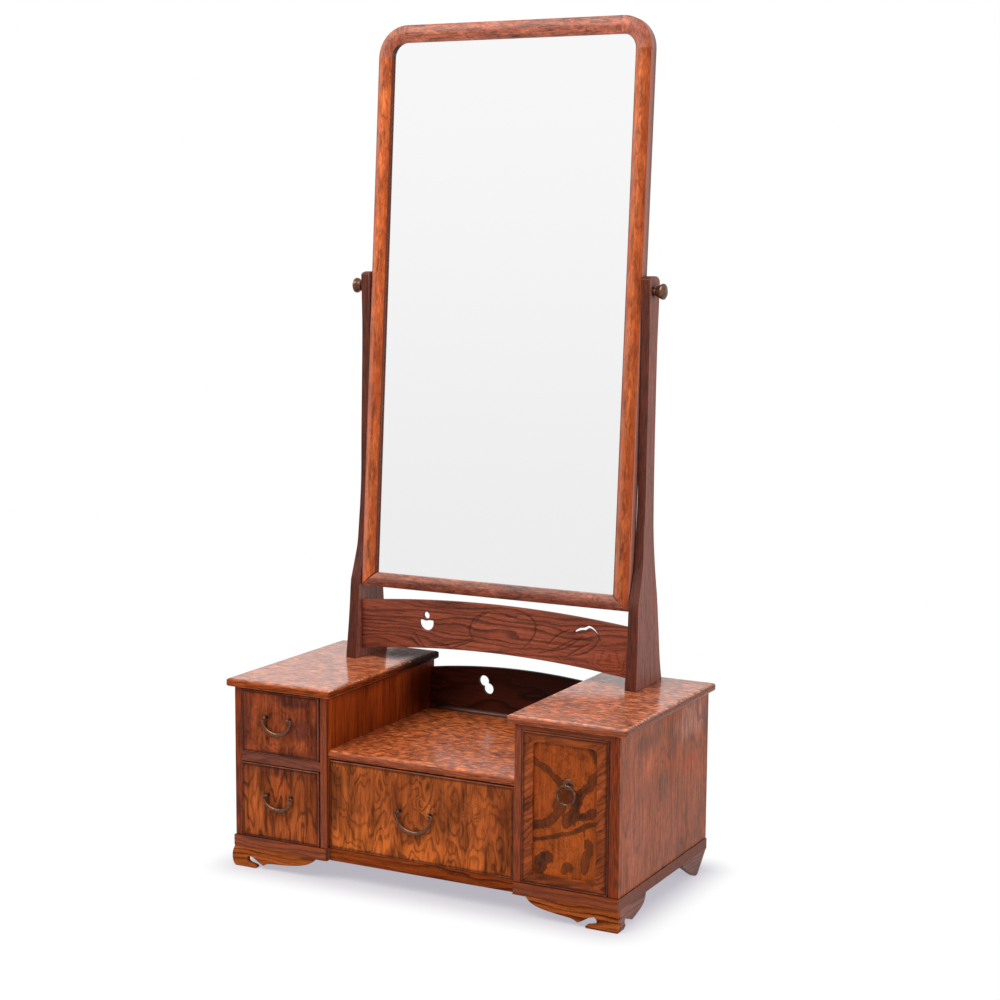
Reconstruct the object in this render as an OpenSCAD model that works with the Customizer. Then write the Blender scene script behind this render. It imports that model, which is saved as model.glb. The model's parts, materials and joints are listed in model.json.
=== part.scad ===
// A tall dressing mirror that tilts between two uprights, on a low chest with drawers and a cupboard.
// X runs to the right, Y to the back and Z up. The origin is on the floor under the chest's middle.

/* [Chest] */
// Width over the two pedestal tops
base_w = 600; // [560:5:680]
// Depth of the pedestal tops
base_d = 303; // [280:1:340]
// Height of the pedestal tops above the floor
pedestal_h = 264; // [250:1:300]
// Width of each pedestal top
pedestal_w = 168; // [150:1:190]
// Thickness of the pedestal tops
top_t = 12; // [10:0.5:16]
// Corner radius of the pedestal tops, seen from above
top_corner_r = 5; // [3:0.5:8]
// Height of the centre top above the floor
centre_h = 180.5; // [165:0.5:200]
// Thickness of the centre top
centre_top_t = 13; // [10:0.5:16]
// How far the pedestal cases stand in from the outer edges of their tops
case_inset = 11; // [8:0.5:16]
// How far the pedestal tops reach over the centre
inner_overhang = 9.5; // [6:0.5:14]
// How far the pedestal fronts stand behind the front edges of their tops
case_setback = 7; // [5:0.5:12]
// How far the centre front stands behind the pedestal fronts
centre_setback = 6; // [4:0.5:12]
// How far the centre top's nose stands in front of the centre drawer
centre_nose = 2.5; // [1:0.5:4]
// Thickness of the side boards
side_t = 10; // [8:0.5:13]
// Thickness of the right pedestal's outer side board
outer_right_t = 14; // [12:0.5:15]
// Height of the rail over the door
case_rail_h = 7; // [5:0.5:12]
// Depth of the rail over the door
case_rail_d = 16; // [14:0.5:24]
// Thickness of the back panels
back_t = 6; // [4:0.5:9]
// Height of the divider's underside above the floor
divider_z = 149.5; // [130:0.5:165]
// Thickness of the divider between the left drawers
divider_t = 13; // [9:0.5:16]
// Height of the gallery board at its ends, above the centre top
gallery_end_h = 60; // [45:1:64]
// Rise of the gallery board's arch
gallery_rise = 10.5; // [4:0.5:11]
// Thickness of the gallery board
gallery_t = 6; // [5:0.5:13]
// How far the gallery board stands in from the back
gallery_inset = 4; // [0:0.5:6]
// Size of the quarter-round bead at the gallery's foot
bead_size = 6; // [4:0.5:9]
// Radius of the two circles of the gallery's gourd piercing
gourd_r = 8; // [6:0.5:11]

/* [Plinth and feet] */
// Height of the bracket feet
foot_h = 28.5; // [26:0.5:36]
// Height of the plinth bands
band_h = 15.5; // [12:0.5:20]
// Thickness of the plinth bands
band_t = 9; // [7:0.5:12]
// How far the front bands stand in front of the pedestals
band_proud = 3; // [1:0.5:5]
// How far the side bands stand out from the pedestals
side_proud = 1.5; // [0.5:0.5:3]
// How far the bracket feet stand behind the bands
bracket_inset = 0.8; // [0.4:0.2:2]
// Thickness of the bracket feet
bracket_t = 8; // [6:0.5:14]
// How much nearer its corner the left foot's scroll cut sits
left_cut_shift = 10; // [0:1:12]
// How far the left foot's outer end swells
left_swell = 4.5; // [0:0.5:6]
// How much lower the centre band hangs than the others
centre_band_drop = 1.5; // [0:0.5:3]
// Length of the bracket foot at the side, to the front
side_bracket_l = 90; // [80:1:110]
// Length of the bracket foot at the side, to the rear
rear_bracket_l = 86; // [80:1:110]

/* [Drawers] */
// Gap at the left of each drawer
drawer_gap_l = 0.8; // [0.5:0.1:2]
// Gap at the right of each drawer
drawer_gap_r = 2.7; // [0.5:0.1:3.5]
// Running gap under each drawer
drawer_gap_bottom = 0.4; // [0.3:0.1:0.8]
// Gap over each drawer
drawer_gap_top = 1.5; // [0.5:0.1:3]
// Gap between the drawers' backs and the back panels
drawer_gap_back = 8; // [3:0.5:20]
// Thickness of the drawer fronts
drawer_front_t = 14; // [12:0.5:18]
// Thickness of the drawer sides and backs
drawer_side_t = 8; // [6:0.5:10]
// How far the drawer sides stay below the top of the front
drawer_side_drop = 6; // [2:0.5:12]
// Thickness of the drawer bottoms
drawer_bottom_t = 4; // [3:0.5:6]
// Depth of the grooves that hold the drawer bottoms
groove_depth = 3; // [2:0.5:4]
// Height of the grooves above the drawers' lower edges
groove_up = 4; // [3:0.5:8]
// Play of the drawer bottoms and the door panel in their grooves
groove_play = 0.2; // [0.1:0.05:0.4]

/* [Pulls] */
// Distance between the posts of the left drawers' pulls
small_pitch = 37; // [28:1:44]
// Distance between the posts of the centre drawer's pull
large_pitch = 46; // [34:1:52]
// Height of the upper drawer's pull above the middle of its front
upper_pull_up = 8; // [0:1:14]
// Height of the lower drawer's pull above the middle of its front
lower_pull_up = 10; // [0:1:14]
// Height of the centre drawer's pull above the middle of its front
centre_pull_up = 6; // [0:1:14]
// How far the upper drawer's pull sits to the right of the middle
upper_pull_shift = -3; // [-8:0.5:8]
// How far the lower drawer's pull sits to the right of the middle
lower_pull_shift = -1.5; // [-8:0.5:8]
// How far the centre drawer's pull sits to the right of the middle
centre_pull_shift = -7.5; // [-10:0.5:10]
// Radius of the posts' ball heads
post_ball_r = 2.6; // [2.2:0.1:3]
// Radius of the posts' stems
post_stem_r = 1.5; // [1.2:0.1:1.8]
// Radius of the posts' washers
post_washer_r = 3.8; // [3:0.1:5]
// Radius of the bails' wire
bail_wire_r = 1.7; // [1.2:0.1:1.9]
// Radius of the bails' end pins
bail_pin_r = 1; // [0.8:0.1:1.1]
// Distance of the pulls' swing axis from the drawer fronts
pull_stand = 3.9; // [3.6:0.1:4.4]
// Radial play of pins in their holes
pin_play = 0.06; // [0.03:0.01:0.1]

/* [Door] */
// Gap at the left of the door
door_gap_l = 0.8; // [0.5:0.1:2]
// Gap at the right of the door, beside its pivot pins
door_gap_r = 1.9; // [1.8:0.1:3.5]
// Gaps over and under the door
door_gap_z = 0.8; // [0.5:0.1:2]
// Thickness of the door frame
door_t = 14; // [12:0.5:16]
// Width of the door stiles
door_stile_w = 15.5; // [13:0.5:20]
// Height of the door's upper rail
door_head_w = 12; // [11:0.5:18]
// Height of the door's lower rail
door_rail_w = 14.5; // [12:0.5:20]
// Radius at the corners of the door panel's opening
door_corner_r = 8; // [4:0.5:12]
// Radius of the rounded heel beside the pivot pins
door_heel_r = 4; // [3.8:0.1:5]
// Thickness of the door panel
door_panel_t = 6; // [4:0.5:7]
// How far the door panel lies behind the frame's face
door_panel_recess = 3; // [2:0.5:4]
// How far the door panel enters the frame
door_panel_tongue = 5; // [3:0.5:7]
// Radius of the pivot pins
hinge_pin_r = 2; // [1.5:0.1:2.5]
// How far each pivot pin enters the case
hinge_pin_reach = 6; // [4:0.5:7]
// How far each pivot pin enters the door
hinge_pin_seat = 12; // [8:1:13]
// Width and depth of the stop strip behind the door
stop_size = 6; // [4:0.5:9]
// Gap between the closed door and its stop strip
stop_gap = 0.3; // [0.2:0.1:0.6]
// Height of the ring's rosette above the middle of the door
rosette_up = 38; // [0:1:60]
// How far the rosette sits to the right of the door's middle
rosette_shift = 4; // [-10:1:12]
// Radius of the rosette
rosette_r = 7.5; // [5:0.5:9]
// Thickness of the rosette
rosette_t = 1.5; // [1:0.1:2]
// Radius of the ring, to the middle of its wire
ring_r = 12.4; // [9:0.2:15]
// Radius of the ring's wire
ring_wire_r = 1.3; // [1:0.1:1.4]
// Play of the ring in its eye
ring_play = 0.35; // [0.3:0.05:0.5]
// Radius of the eye's ball
eye_ball_r = 2.9; // [2.7:0.1:3.2]

/* [Uprights and rail] */
// Distance between the inner faces of the uprights
upright_span = 420; // [410:1:440]
// Thickness of the uprights at the foot
upright_foot_t = 17; // [14:0.5:20]
// Thickness of the uprights above the taper
upright_t = 12; // [10:0.5:14]
// Height above the tops at which the taper ends
taper_h = 216; // [150:1:300]
// Depth of the uprights at the foot
upright_foot_d = 88; // [70:1:96]
// Depth of the uprights at the waist
upright_waist_d = 26; // [22:1:34]
// Depth of the uprights at the head
upright_head_d = 35; // [28:1:42]
// Height of the shoulder above the tops
shoulder_h = 113; // [90:1:130]
// How far the head rises over the pivot
head_over = 20; // [16:0.5:24]
// Length of the tenons that hold the uprights in the tops
tenon_l = 12; // [6:0.5:16]
// Thickness of the tenons
tenon_t = 8; // [6:0.5:10]
// Height of the rail's ends
rail_end_h = 70.5; // [60:0.5:80]
// Gap between the rail's ends and the tops
rail_lift = 12.5; // [8:0.5:18]
// Rise of the rail's upper edge
rail_rise_top = 12; // [6:0.5:14]
// Rise of the rail's lower edge
rail_rise_bottom = 14; // [6:0.5:18]
// Thickness of the rail
rail_t = 6; // [5:0.5:15]
// How far the rail's face stands behind the uprights' front foot
rail_back = 16; // [12:0.5:24]

/* [Mirror] */
// Width over the mirror frame
mirror_w = 417; // [400:1:430]
// Height of the frame over the pivot
mirror_up = 362; // [300:1:420]
// Gap between the upright mirror's bottom and the rail's crown
mirror_gap = 8.5; // [6:0.5:20]
// Width of the frame's stiles and top rail
member_w = 24; // [20:0.5:30]
// Height of the frame's bottom rail
bottom_w = 20.5; // [18:0.5:28]
// Radius inside the frame's upper corners
corner_r_in = 20; // [16:1:40]
// Rise of the frame's rounded face
crown = 4; // [2:0.5:6]
// Distance from the pivot plane to the frame's face at its edges
face_w = 7; // [6:0.5:9]
// Distance from the pivot plane to the frame's back
rear_w = 8.5; // [8:0.5:11]
// Depth of the glass behind the edges of the frame's face
glass_depth = 4; // [3:0.5:8]
// Thickness of the glass
glass_t = 3; // [2.5:0.5:4]
// Thickness of the backboard
backboard_t = 4; // [3:0.5:5]
// Width of the rebate that holds the glass
rebate = 7; // [5:0.5:9]
// Play of the glass and backboard in the rebate
glass_play = 0.5; // [0.3:0.1:1]
// Lean of the mirror at rest, its top to the back, in degrees
lean = 3.8; // [0:0.1:5]
// Distance of the pivot behind the chest's middle
pivot_y = 92.5; // [80:0.5:100]
// Height of the pivot above the pedestal tops
pivot_h = 531; // [480:1:600]
// Radius of the pivot shanks
shank_r = 3; // [2.5:0.1:4]
// Outer radius of the pivot bushes
bush_r = 5; // [4.5:0.1:6]
// Length of the pivot bushes
bush_l = 12; // [8:0.5:14]
// Radius of the knob heads
knob_r = 10.6; // [8:0.2:12]
// Length of the knob heads
knob_t = 14; // [11:0.5:16]
// Radius of the knobs' collars
collar_r = 6.5; // [6:0.5:8]
// Thickness of the knobs' collars
collar_t = 2; // [1:0.5:3]
// Radius of the knobs' necks
neck_r = 5.5; // [4:0.5:6]
// Length of the knobs' necks
neck_l = 2; // [1:0.5:6]
// Gap between the knobs' collars and the uprights
knob_gap = 0.3; // [0.2:0.1:0.5]

/* [Hidden] */
$fn = 64;

// Colours of the finishes
case_red = [0.55, 0.24, 0.13];
top_red = [0.68, 0.34, 0.22];
front_orange = [0.66, 0.34, 0.15];
frame_orange = [0.72, 0.32, 0.14];
dark_brown = [0.25, 0.10, 0.06];
inner_wood = [0.72, 0.56, 0.38];
bronze = [0.40, 0.32, 0.24];
silver = [0.90, 0.92, 0.92];

// Planes of the chest
cut = 1;
edge_x = base_w / 2;
front_y = -base_d / 2;
back_y = base_d / 2;
outer_x = edge_x - case_inset;
inner_x = edge_x - pedestal_w + inner_overhang;
opening_out = outer_x - side_t;
opening_in = inner_x + side_t;
door_bay_out = outer_x - outer_right_t;
case_front = front_y + case_setback;
centre_front = case_front + centre_setback;
case_back = back_y - back_t;
floor_z = foot_h + band_h;
case_top = pedestal_h - top_t;
door_bay_top = case_top - case_rail_h;
centre_under = centre_h - centre_top_t;
divider_top = divider_z + divider_t;
gallery_front = back_y - gallery_inset - gallery_t;

// Planes of the plinth
band_front = case_front - band_proud;
band_back = band_front + band_t;
centre_band_back = centre_front + band_t;
band_end = inner_x - 1;
band_outer = outer_x + side_proud;
band_end_r = 4;
bracket_front = band_front + bracket_inset;
bracket_outer = band_outer - bracket_inset;

// Bays of the drawers: left, right, front, floor and ceiling
upper_bay = [-opening_out, -opening_in, case_front, divider_top, case_top];
lower_bay = [-opening_out, -opening_in, case_front, floor_z, divider_z];
centre_bay = [-inner_x, inner_x, centre_front, floor_z, centre_under];

// Door
door_x0 = opening_in + door_gap_l;
door_x1 = door_bay_out - door_gap_r;
door_z0 = floor_z + door_gap_z;
door_z1 = door_bay_top - door_gap_z;
door_back = case_front + door_t;
hinge_x = door_x1 - door_t / 2;
hinge_y = case_front + door_t / 2;
panel_front = case_front + door_panel_recess;
ring_x = (door_x0 + door_x1) / 2 + rosette_shift;
ring_z = (door_z0 + door_z1) / 2 + rosette_up - ring_wire_r;
ring_y = case_front - pull_stand;

// Uprights and rail
pivot_z = pedestal_h + pivot_h;
upright_in = upright_span / 2;
// Distance from the pivot plane back to the glass
glass_w = glass_depth - face_w;
foot_front = pivot_y - 48.5;
foot_back = foot_front + upright_foot_d;
waist_front = pivot_y - 11.5;
waist_back = waist_front + upright_waist_d;
head_front = pivot_y - 13;
head_back = head_front + upright_head_d;
head_z = pivot_z + head_over;
shoulder_z = pedestal_h + shoulder_h;
tenon_depth = min(tenon_l, top_t);
tenon_half = 24;
rail_front = foot_front + rail_back;
rail_z0 = pedestal_h + rail_lift;
rail_z1 = rail_z0 + rail_end_h;
rail_tenon_l = 6;
rail_tenon_t = rail_t - 2;
rail_tenon_h = 44;

// Mirror
mirror_down = pivot_z - rail_z1 - rail_rise_top - mirror_gap;
half_w = mirror_w / 2;
opening_half = half_w - member_w;
corner_r_out = corner_r_in + member_w;
rest_lean = -lean;

// A box between two opposite corners
module span(low, high) {
  translate(low) cube(high - low);
}

// Runs its children along X from x0 to x1, with the outline in Y and Z
module along_x(x0, x1) {
  translate([x0, 0, 0]) rotate([90, 0, 90]) linear_extrude(x1 - x0) children();
}

// Runs its children along Y from y0 to y1, with the outline in X and Z
module along_y(y0, y1) {
  translate([0, y1, 0]) rotate([90, 0, 0]) linear_extrude(y1 - y0) children();
}

// A cylinder that lies along X
module rod_x(x0, x1, r, y, z) {
  translate([x0, y, z]) rotate([0, 90, 0]) cylinder(r = r, h = x1 - x0);
}

// A cylinder that lies along Y
module rod_y(y0, y1, r, x, z) {
  translate([x, y0, z]) rotate([-90, 0, 0]) cylinder(r = r, h = y1 - y0);
}

// A turned piece along X, from points of radius and place along the axis
module turned_x(profile, y, z) {
  translate([0, y, z]) rotate([0, 90, 0]) rotate_extrude() polygon(profile);
}

// A turned piece along Y, from points of radius and place along the axis
module turned_y(profile, x, z) {
  translate([x, 0, z]) rotate([-90, 0, 0]) rotate_extrude() polygon(profile);
}

// Points of a ball's profile from its tip to where a stem joins it
function ball_tip(r, stem, at, n) = [
  for (k = [0:n]) let (a = (180 - asin(stem / r)) * k / n) [r * sin(a), at - r * cos(a)]
];

// The children for the right side, or mirrored for the left
module on_side(s) {
  mirror([s < 0 ? 1 : 0, 0, 0]) children();
}

// Smooth curve through a list of points, by four points at a time
function blend_point(a, b, c, d, t) =
  0.5 * (2 * b + (c - a) * t + (2 * a - 5 * b + 4 * c - d) * t * t + (3 * b - a - 3 * c + d) * t * t * t);
function smooth(p, n) = [
  for (i = [0:len(p) - 2], k = [0:n - 1])
    blend_point(p[max(i - 1, 0)], p[i], p[i + 1], p[min(i + 2, len(p) - 1)], k / n),
  p[len(p) - 1]
];
function reversed(p) = [for (i = [len(p) - 1:-1:0]) p[i]];

// Points of a shallow arch from x0 to x1
function arch(x0, x1, z, rise, n) = [
  for (i = [0:n]) let (t = i / n) [x0 + (x1 - x0) * t, z + 4 * rise * t * (1 - t)]
];

// A strip with two half-round edges
module nosed_outline(length, t) {
  translate([t / 2, 0]) square([length - t, t]);
  for (x = [t / 2, length - t / 2]) translate([x, t / 2]) circle(d = t);
}

// A rectangle with four rounded corners
module rounded_rectangle(w, h, r) {
  translate([r, 0]) square([w - 2 * r, h]);
  translate([0, r]) square([w, h - 2 * r]);
  for (x = [r, w - r], y = [r, h - r]) translate([x, y]) circle(r = r);
}

// Pedestal top with half-round edges all round, for the right side
module pedestal_top_board() {
  x0 = edge_x - pedestal_w;
  translate([x0, front_y, case_top]) intersection() {
    along_x(0, pedestal_w) nosed_outline(base_d, top_t);
    along_y(0, base_d) nosed_outline(pedestal_w, top_t);
    linear_extrude(top_t) rounded_rectangle(pedestal_w, base_d, top_corner_r);
  }
}

// Tenon of the right upright, which is also the shape of its mortise
module upright_tenon() {
  x0 = upright_in + (upright_t - tenon_t) / 2;
  y0 = (foot_front + foot_back) / 2 - tenon_half;
  span([x0, y0, pedestal_h - tenon_depth], [x0 + tenon_t, y0 + 2 * tenon_half, pedestal_h + cut]);
}

module left_top() {
  color(top_red) on_side(-1) difference() {
    pedestal_top_board();
    upright_tenon();
  }
}

module right_top() {
  color(top_red) difference() {
    pedestal_top_board();
    upright_tenon();
  }
}

module centre_top() {
  nose_y = centre_front - centre_nose;
  color(top_red) along_x(-inner_x, inner_x) {
    translate([nose_y + centre_top_t / 2, centre_under])
      square([back_y - nose_y - centre_top_t / 2, centre_top_t]);
    translate([nose_y + centre_top_t / 2, centre_under + centre_top_t / 2]) circle(d = centre_top_t);
  }
}

// Side board between two X planes of the right pedestal
module side_board(x0, x1) {
  span([x0, case_front, floor_z], [x1, back_y, case_top]);
}

module left_outer_side() {
  color(case_red) on_side(-1) side_board(opening_out, outer_x);
}

module left_inner_side() {
  color(case_red) on_side(-1) side_board(inner_x, opening_in);
}

module right_inner_side() {
  color(case_red) side_board(inner_x, opening_in);
}

module right_outer_side() {
  color(case_red) side_board(door_bay_out, outer_x);
}

module case_rail() {
  color(front_orange) difference() {
    span([opening_in, case_front, door_bay_top], [door_bay_out, case_front + case_rail_d, case_top]);
    hinge_bore(door_bay_top - cut, case_top);
  }
}

module left_back() {
  color(case_red) span([-opening_out, case_back, floor_z], [-opening_in, back_y, case_top]);
}

module centre_back() {
  color(case_red) span([-inner_x, case_back, floor_z], [inner_x, back_y, centre_under]);
}

module right_back() {
  color(case_red) span([opening_in, case_back, floor_z], [door_bay_out, back_y, case_top]);
}

module bottom_board() {
  side_x = band_outer - band_t;
  color(case_red) difference() {
    span([-side_x, band_back, foot_h], [side_x, back_y, floor_z]);
    span([-band_end, band_back - cut, foot_h - cut], [band_end, centre_band_back, floor_z + cut]);
    hinge_bore(floor_z - hinge_pin_reach, floor_z + cut);
  }
}

module left_divider() {
  color(case_red) span([-opening_out, case_front, divider_z], [-opening_in, case_back, divider_top]);
}

// Front band of the right pedestal, its inner end rounded
module front_band() {
  translate([0, 0, foot_h]) linear_extrude(band_h) {
    translate([band_end + band_end_r, band_front]) square([band_outer - band_end - band_end_r, band_t]);
    translate([band_end, band_front + band_end_r]) square([band_end_r, band_t - band_end_r]);
    translate([band_end + band_end_r, band_front + band_end_r]) circle(r = band_end_r);
  }
}

module plinth_bands() {
  color(front_orange) difference() {
    union() {
      for (s = [-1, 1]) on_side(s) {
        front_band();
        span([band_outer - band_t, band_back, foot_h], [band_outer, back_y, floor_z]);
      }
      span([-band_end, centre_front, foot_h - centre_band_drop], [band_end, centre_band_back, floor_z]);
    }
    hinge_bore(floor_z - hinge_pin_reach, floor_z + cut);
  }
}

// Lower edge of a front bracket: distance from the outer corner, and height
bracket_l = bracket_outer - band_end;
notch_x = 34;
notch_z = 11;
notch_r = 4.6;
hook_x = 44;
hook_r = 2;
point_x = 56;
function bracket_sweep(shift) = smooth([
  [point_x - shift, 5], [point_x + 9 - shift, 9], [point_x + 30, 11.5], [point_x + 52, 15],
  [point_x + 66, 20], [point_x + 74, foot_h - 1]
], 5);

// Outer end of a front bracket, from its top down to the floor
function swollen_end(swell) = swell == 0 ? [[0, foot_h], [0, 0]] : smooth([
  [0, foot_h], [-0.5 * swell, 0.86 * foot_h], [-swell, 0.62 * foot_h], [-swell, 0.34 * foot_h],
  [-0.6 * swell, 0.12 * foot_h], [0, 0]
], 4);

// Front bracket seen from the front, from its outer corner at x = 0
module front_bracket_outline(shift, swell) {
  difference() {
    polygon(concat(
      swollen_end(swell),
      [[hook_x - shift, 0], [hook_x + hook_r - shift, 3], [point_x - 8 - shift, 9]],
      bracket_sweep(shift),
      [[bracket_l, foot_h - 1], [bracket_l, foot_h]]
    ));
    translate([-shift, 0]) scroll_cut();
  }
}

// Round cut with a slanting mouth, which leaves a hook at the foot's floor
module scroll_cut() {
  translate([notch_x, notch_z]) circle(r = notch_r);
  polygon([
    [notch_x - 1, notch_z - notch_r], [hook_x - 1, hook_r * 2], [hook_x + 2, hook_r], [hook_x + 2, -cut],
    [point_x - 1, -cut], [point_x - 1, 5], [notch_x + 6, notch_z + notch_r - 1.5],
    [notch_x, notch_z + notch_r]
  ]);
}

// Front bracket of the right side
module front_bracket(shift, swell) {
  translate([bracket_outer, 0, 0]) mirror([1, 0, 0])
    along_y(bracket_front, bracket_front + bracket_t) front_bracket_outline(shift, swell);
}

// Side bracket behind the front one, from its front end at 0
module side_bracket_outline() {
  flat = 13;
  sweep = smooth([[38, 4.5], [52, 7.5], [70, 13], [side_bracket_l - bracket_t - 4, 19],
    [side_bracket_l - bracket_t, foot_h]], 5);
  difference() {
    polygon(concat([[0, 0], [flat, 0], [flat + 4, 3], [28, 9]], sweep, [[0, foot_h]]));
    translate([flat + 5, 9]) circle(r = 3.6);
    polygon([[flat + 4, 5.5], [flat + 4.5, -cut], [37, -cut], [37, 4.5], [flat + 8, 11]]);
  }
}

// Rear bracket, from its back end at 0 towards the front
module rear_bracket_outline() {
  sweep = smooth([[38, 0], [50, 6], [66, 15], [rear_bracket_l - 6, 23], [rear_bracket_l, foot_h]], 5);
  polygon(concat([[0, foot_h], [4, foot_h - 4], [30, 0]], sweep));
}

// Both side brackets of the right side
module side_brackets() {
  x0 = bracket_outer - bracket_t;
  along_x(x0, bracket_outer) {
    translate([bracket_front + bracket_t, 0]) side_bracket_outline();
    translate([back_y, 0]) mirror([1, 0]) rear_bracket_outline();
  }
}

module left_front_bracket() {
  color(front_orange) on_side(-1) front_bracket(left_cut_shift, left_swell);
}

module right_front_bracket() {
  color(front_orange) front_bracket(0, 0);
}

module left_side_brackets() {
  color(front_orange) on_side(-1) side_brackets();
}

module right_side_brackets() {
  color(front_orange) side_brackets();
}

// Middle of the gourd's lower circle
gourd_at = [-46.8, centre_h + 37.5];
// From the lower circle to the upper one
gourd_step = [-7.4, 10.8];

module gallery_board() {
  color(dark_brown) along_y(gallery_front, gallery_front + gallery_t) difference() {
    polygon(concat(
      [[-inner_x, centre_h]],
      [[inner_x, centre_h]],
      reversed(arch(-inner_x, inner_x, centre_h + gallery_end_h, gallery_rise, 24))
    ));
    translate(gourd_at) circle(r = gourd_r);
    translate(gourd_at + gourd_step) circle(r = gourd_r);
  }
}

module gallery_bead() {
  color(dark_brown) intersection() {
    span([-inner_x, gallery_front - bead_size, centre_h], [inner_x, gallery_front, centre_h + bead_size]);
    rod_x(-inner_x, inner_x, bead_size, gallery_front, centre_h);
  }
}

// Outline of an upright in Y and Z
lower_front = [
  [foot_front, pedestal_h],
  [foot_front + 5.5, pedestal_h + 0.46 * shoulder_h],
  [foot_front + 7.5, pedestal_h + 0.7 * shoulder_h],
  [foot_front + 8.5, pedestal_h + 0.9 * shoulder_h]
];
upper_front = smooth([
  [foot_front + 9.5, shoulder_z],
  [foot_front + 14, shoulder_z + 13],
  [foot_front + 22.5, shoulder_z + 39],
  [waist_front - 10.5, shoulder_z + 56],
  [waist_front - 7.5, shoulder_z + 90],
  [waist_front - 3, shoulder_z + 145],
  [waist_front - 2, (shoulder_z + pivot_z) / 2],
  [waist_front + 1, pivot_z - 75],
  [waist_front, pivot_z - 20],
  [head_front, head_z - 4]
], 6);
rear_edge = smooth([
  [foot_back, pedestal_h],
  [foot_back - 6, pedestal_h + 0.3 * shoulder_h],
  [foot_back - 10, pedestal_h + 0.7 * shoulder_h],
  [foot_back - 14, shoulder_z + 5],
  [waist_back + 4, shoulder_z + 50],
  [waist_back, shoulder_z + 105],
  [waist_back - 0.5, (shoulder_z + pivot_z) / 2],
  [waist_back + 2, pivot_z - 80],
  [head_back - 3, pivot_z - 36],
  [head_back, head_z - 11]
], 6);

module upright_outline() {
  polygon(concat(
    lower_front, upper_front,
    [[head_front + 4, head_z - 1.5], [head_front + 11, head_z], [head_back - 12, head_z]],
    [[head_back - 5, head_z - 2], [head_back - 1, head_z - 6]],
    reversed(rear_edge)
  ));
}

// The uprights grow thicker to the foot on their outer faces
module upright_front_outline() {
  foot_x = upright_in + upright_foot_t;
  polygon([
    [upright_in, pedestal_h], [foot_x, pedestal_h], [upright_in + upright_t, pedestal_h + taper_h],
    [upright_in + upright_t, head_z], [upright_in, head_z]
  ]);
}

// Tenon at the right end of the rail
module rail_tenon() {
  z0 = (rail_z0 + rail_z1 - rail_tenon_h) / 2;
  y0 = rail_front + (rail_t - rail_tenon_t) / 2;
  span([upright_in - cut, y0, z0], [upright_in + rail_tenon_l, y0 + rail_tenon_t, z0 + rail_tenon_h]);
}

module upright() {
  difference() {
    union() {
      intersection() {
        along_x(upright_in, upright_in + upright_foot_t) upright_outline();
        along_y(foot_front - cut, foot_back + cut) upright_front_outline();
      }
      upright_tenon();
    }
    rail_tenon();
    rod_x(upright_in - cut, upright_in + upright_t + cut, shank_r + pin_play, pivot_y, pivot_z);
  }
}

module left_upright() {
  color(case_red) on_side(-1) upright();
}

module right_upright() {
  color(case_red) upright();
}

// Ball over a cup with a thin band between them, pierced at the left of the rail
module ball_and_cup() {
  ball_r = 5.3;
  cup_r = 11.5;
  band = 2.2;
  ball_up = 10.2;
  rim_up = 3.6;
  translate([0, ball_up]) circle(r = ball_r);
  difference() {
    circle(r = cup_r);
    translate([0, ball_up]) circle(r = ball_r + band);
    translate([-cup_r, rim_up]) square(2 * cup_r);
  }
}

// Flying bird drawn as one thin bent stroke, pierced at the right of the rail
module bird_stroke() {
  upper = smooth([[-13, 0.5], [-5, 5.5], [3, 7], [9.7, 10], [19, 5], [28, -9]], 4);
  lower = smooth([[28, -10], [18, 1.5], [9.2, 6.5], [4, 3.5], [-4, 2.5], [-13, -1]], 4);
  polygon(concat(upper, lower));
}

// Places of the rail's two piercings, from its middle and above its ends' lower corners
ball_and_cup_at = [-103.7, 47.4];
bird_at = [140, 57];

module carved_rail() {
  color(case_red) {
    along_y(rail_front, rail_front + rail_t) difference() {
      polygon(concat(
        arch(-upright_in, upright_in, rail_z0, rail_rise_bottom, 30),
        reversed(arch(-upright_in, upright_in, rail_z1, rail_rise_top, 30))
      ));
      translate([ball_and_cup_at[0], rail_z0 + ball_and_cup_at[1]]) ball_and_cup();
      translate([bird_at[0], rail_z0 + bird_at[1]]) bird_stroke();
    }
    for (s = [-1, 1]) on_side(s) rail_tenon();
  }
}

module door_stop() {
  y0 = door_back + stop_gap;
  color(case_red) difference() {
    span([opening_in, y0, floor_z], [opening_in + stop_size, y0 + stop_size, case_top]);
    span([opening_in - cut, case_front, door_bay_top],
      [opening_in + stop_size + cut, case_front + case_rail_d, case_top + cut]);
  }
}

// Section of a frame member: across it from the glass outwards, and back from the pivot plane
function member_section(width) = concat(
  [for (i = [0:14]) let (t = i / 14) [width * t, -face_w - crown * sin(180 * t)]],
  [[width, rear_w], [rebate, rear_w], [rebate, glass_w], [0, glass_w]]
);

// Places its children from the pivot's own frame into the mirror's rest pose
module at_mirror() {
  translate([0, pivot_y, pivot_z]) rotate([rest_lean, 0, 0]) children();
}

// Wedge that ends the right stile and the bottom rail on their mitre
module mitre_wedge(side) {
  corner = [half_w, -mirror_down];
  inner = [opening_half, bottom_w - mirror_down];
  reach = inner + (inner - corner) * 2;
  far = corner - (inner - corner) * 0.1;
  along_y(-face_w - crown - cut, rear_w + cut)
    polygon(side > 0 ? [far, [half_w + cut, mirror_up], [reach[0], mirror_up], reach]
                     : [far, reach, [0, reach[1]], [0, far[1]]]);
}

module right_stile() {
  difference() {
    intersection() {
      translate([opening_half, 0, -mirror_down])
        linear_extrude(mirror_down + mirror_up - corner_r_out) polygon(member_section(member_w));
      mitre_wedge(1);
    }
    rod_x(half_w - bush_l, half_w + cut, bush_r, 0, 0);
  }
}

module mirror_left_stile() {
  color(frame_orange) at_mirror() on_side(-1) right_stile();
}

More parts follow.
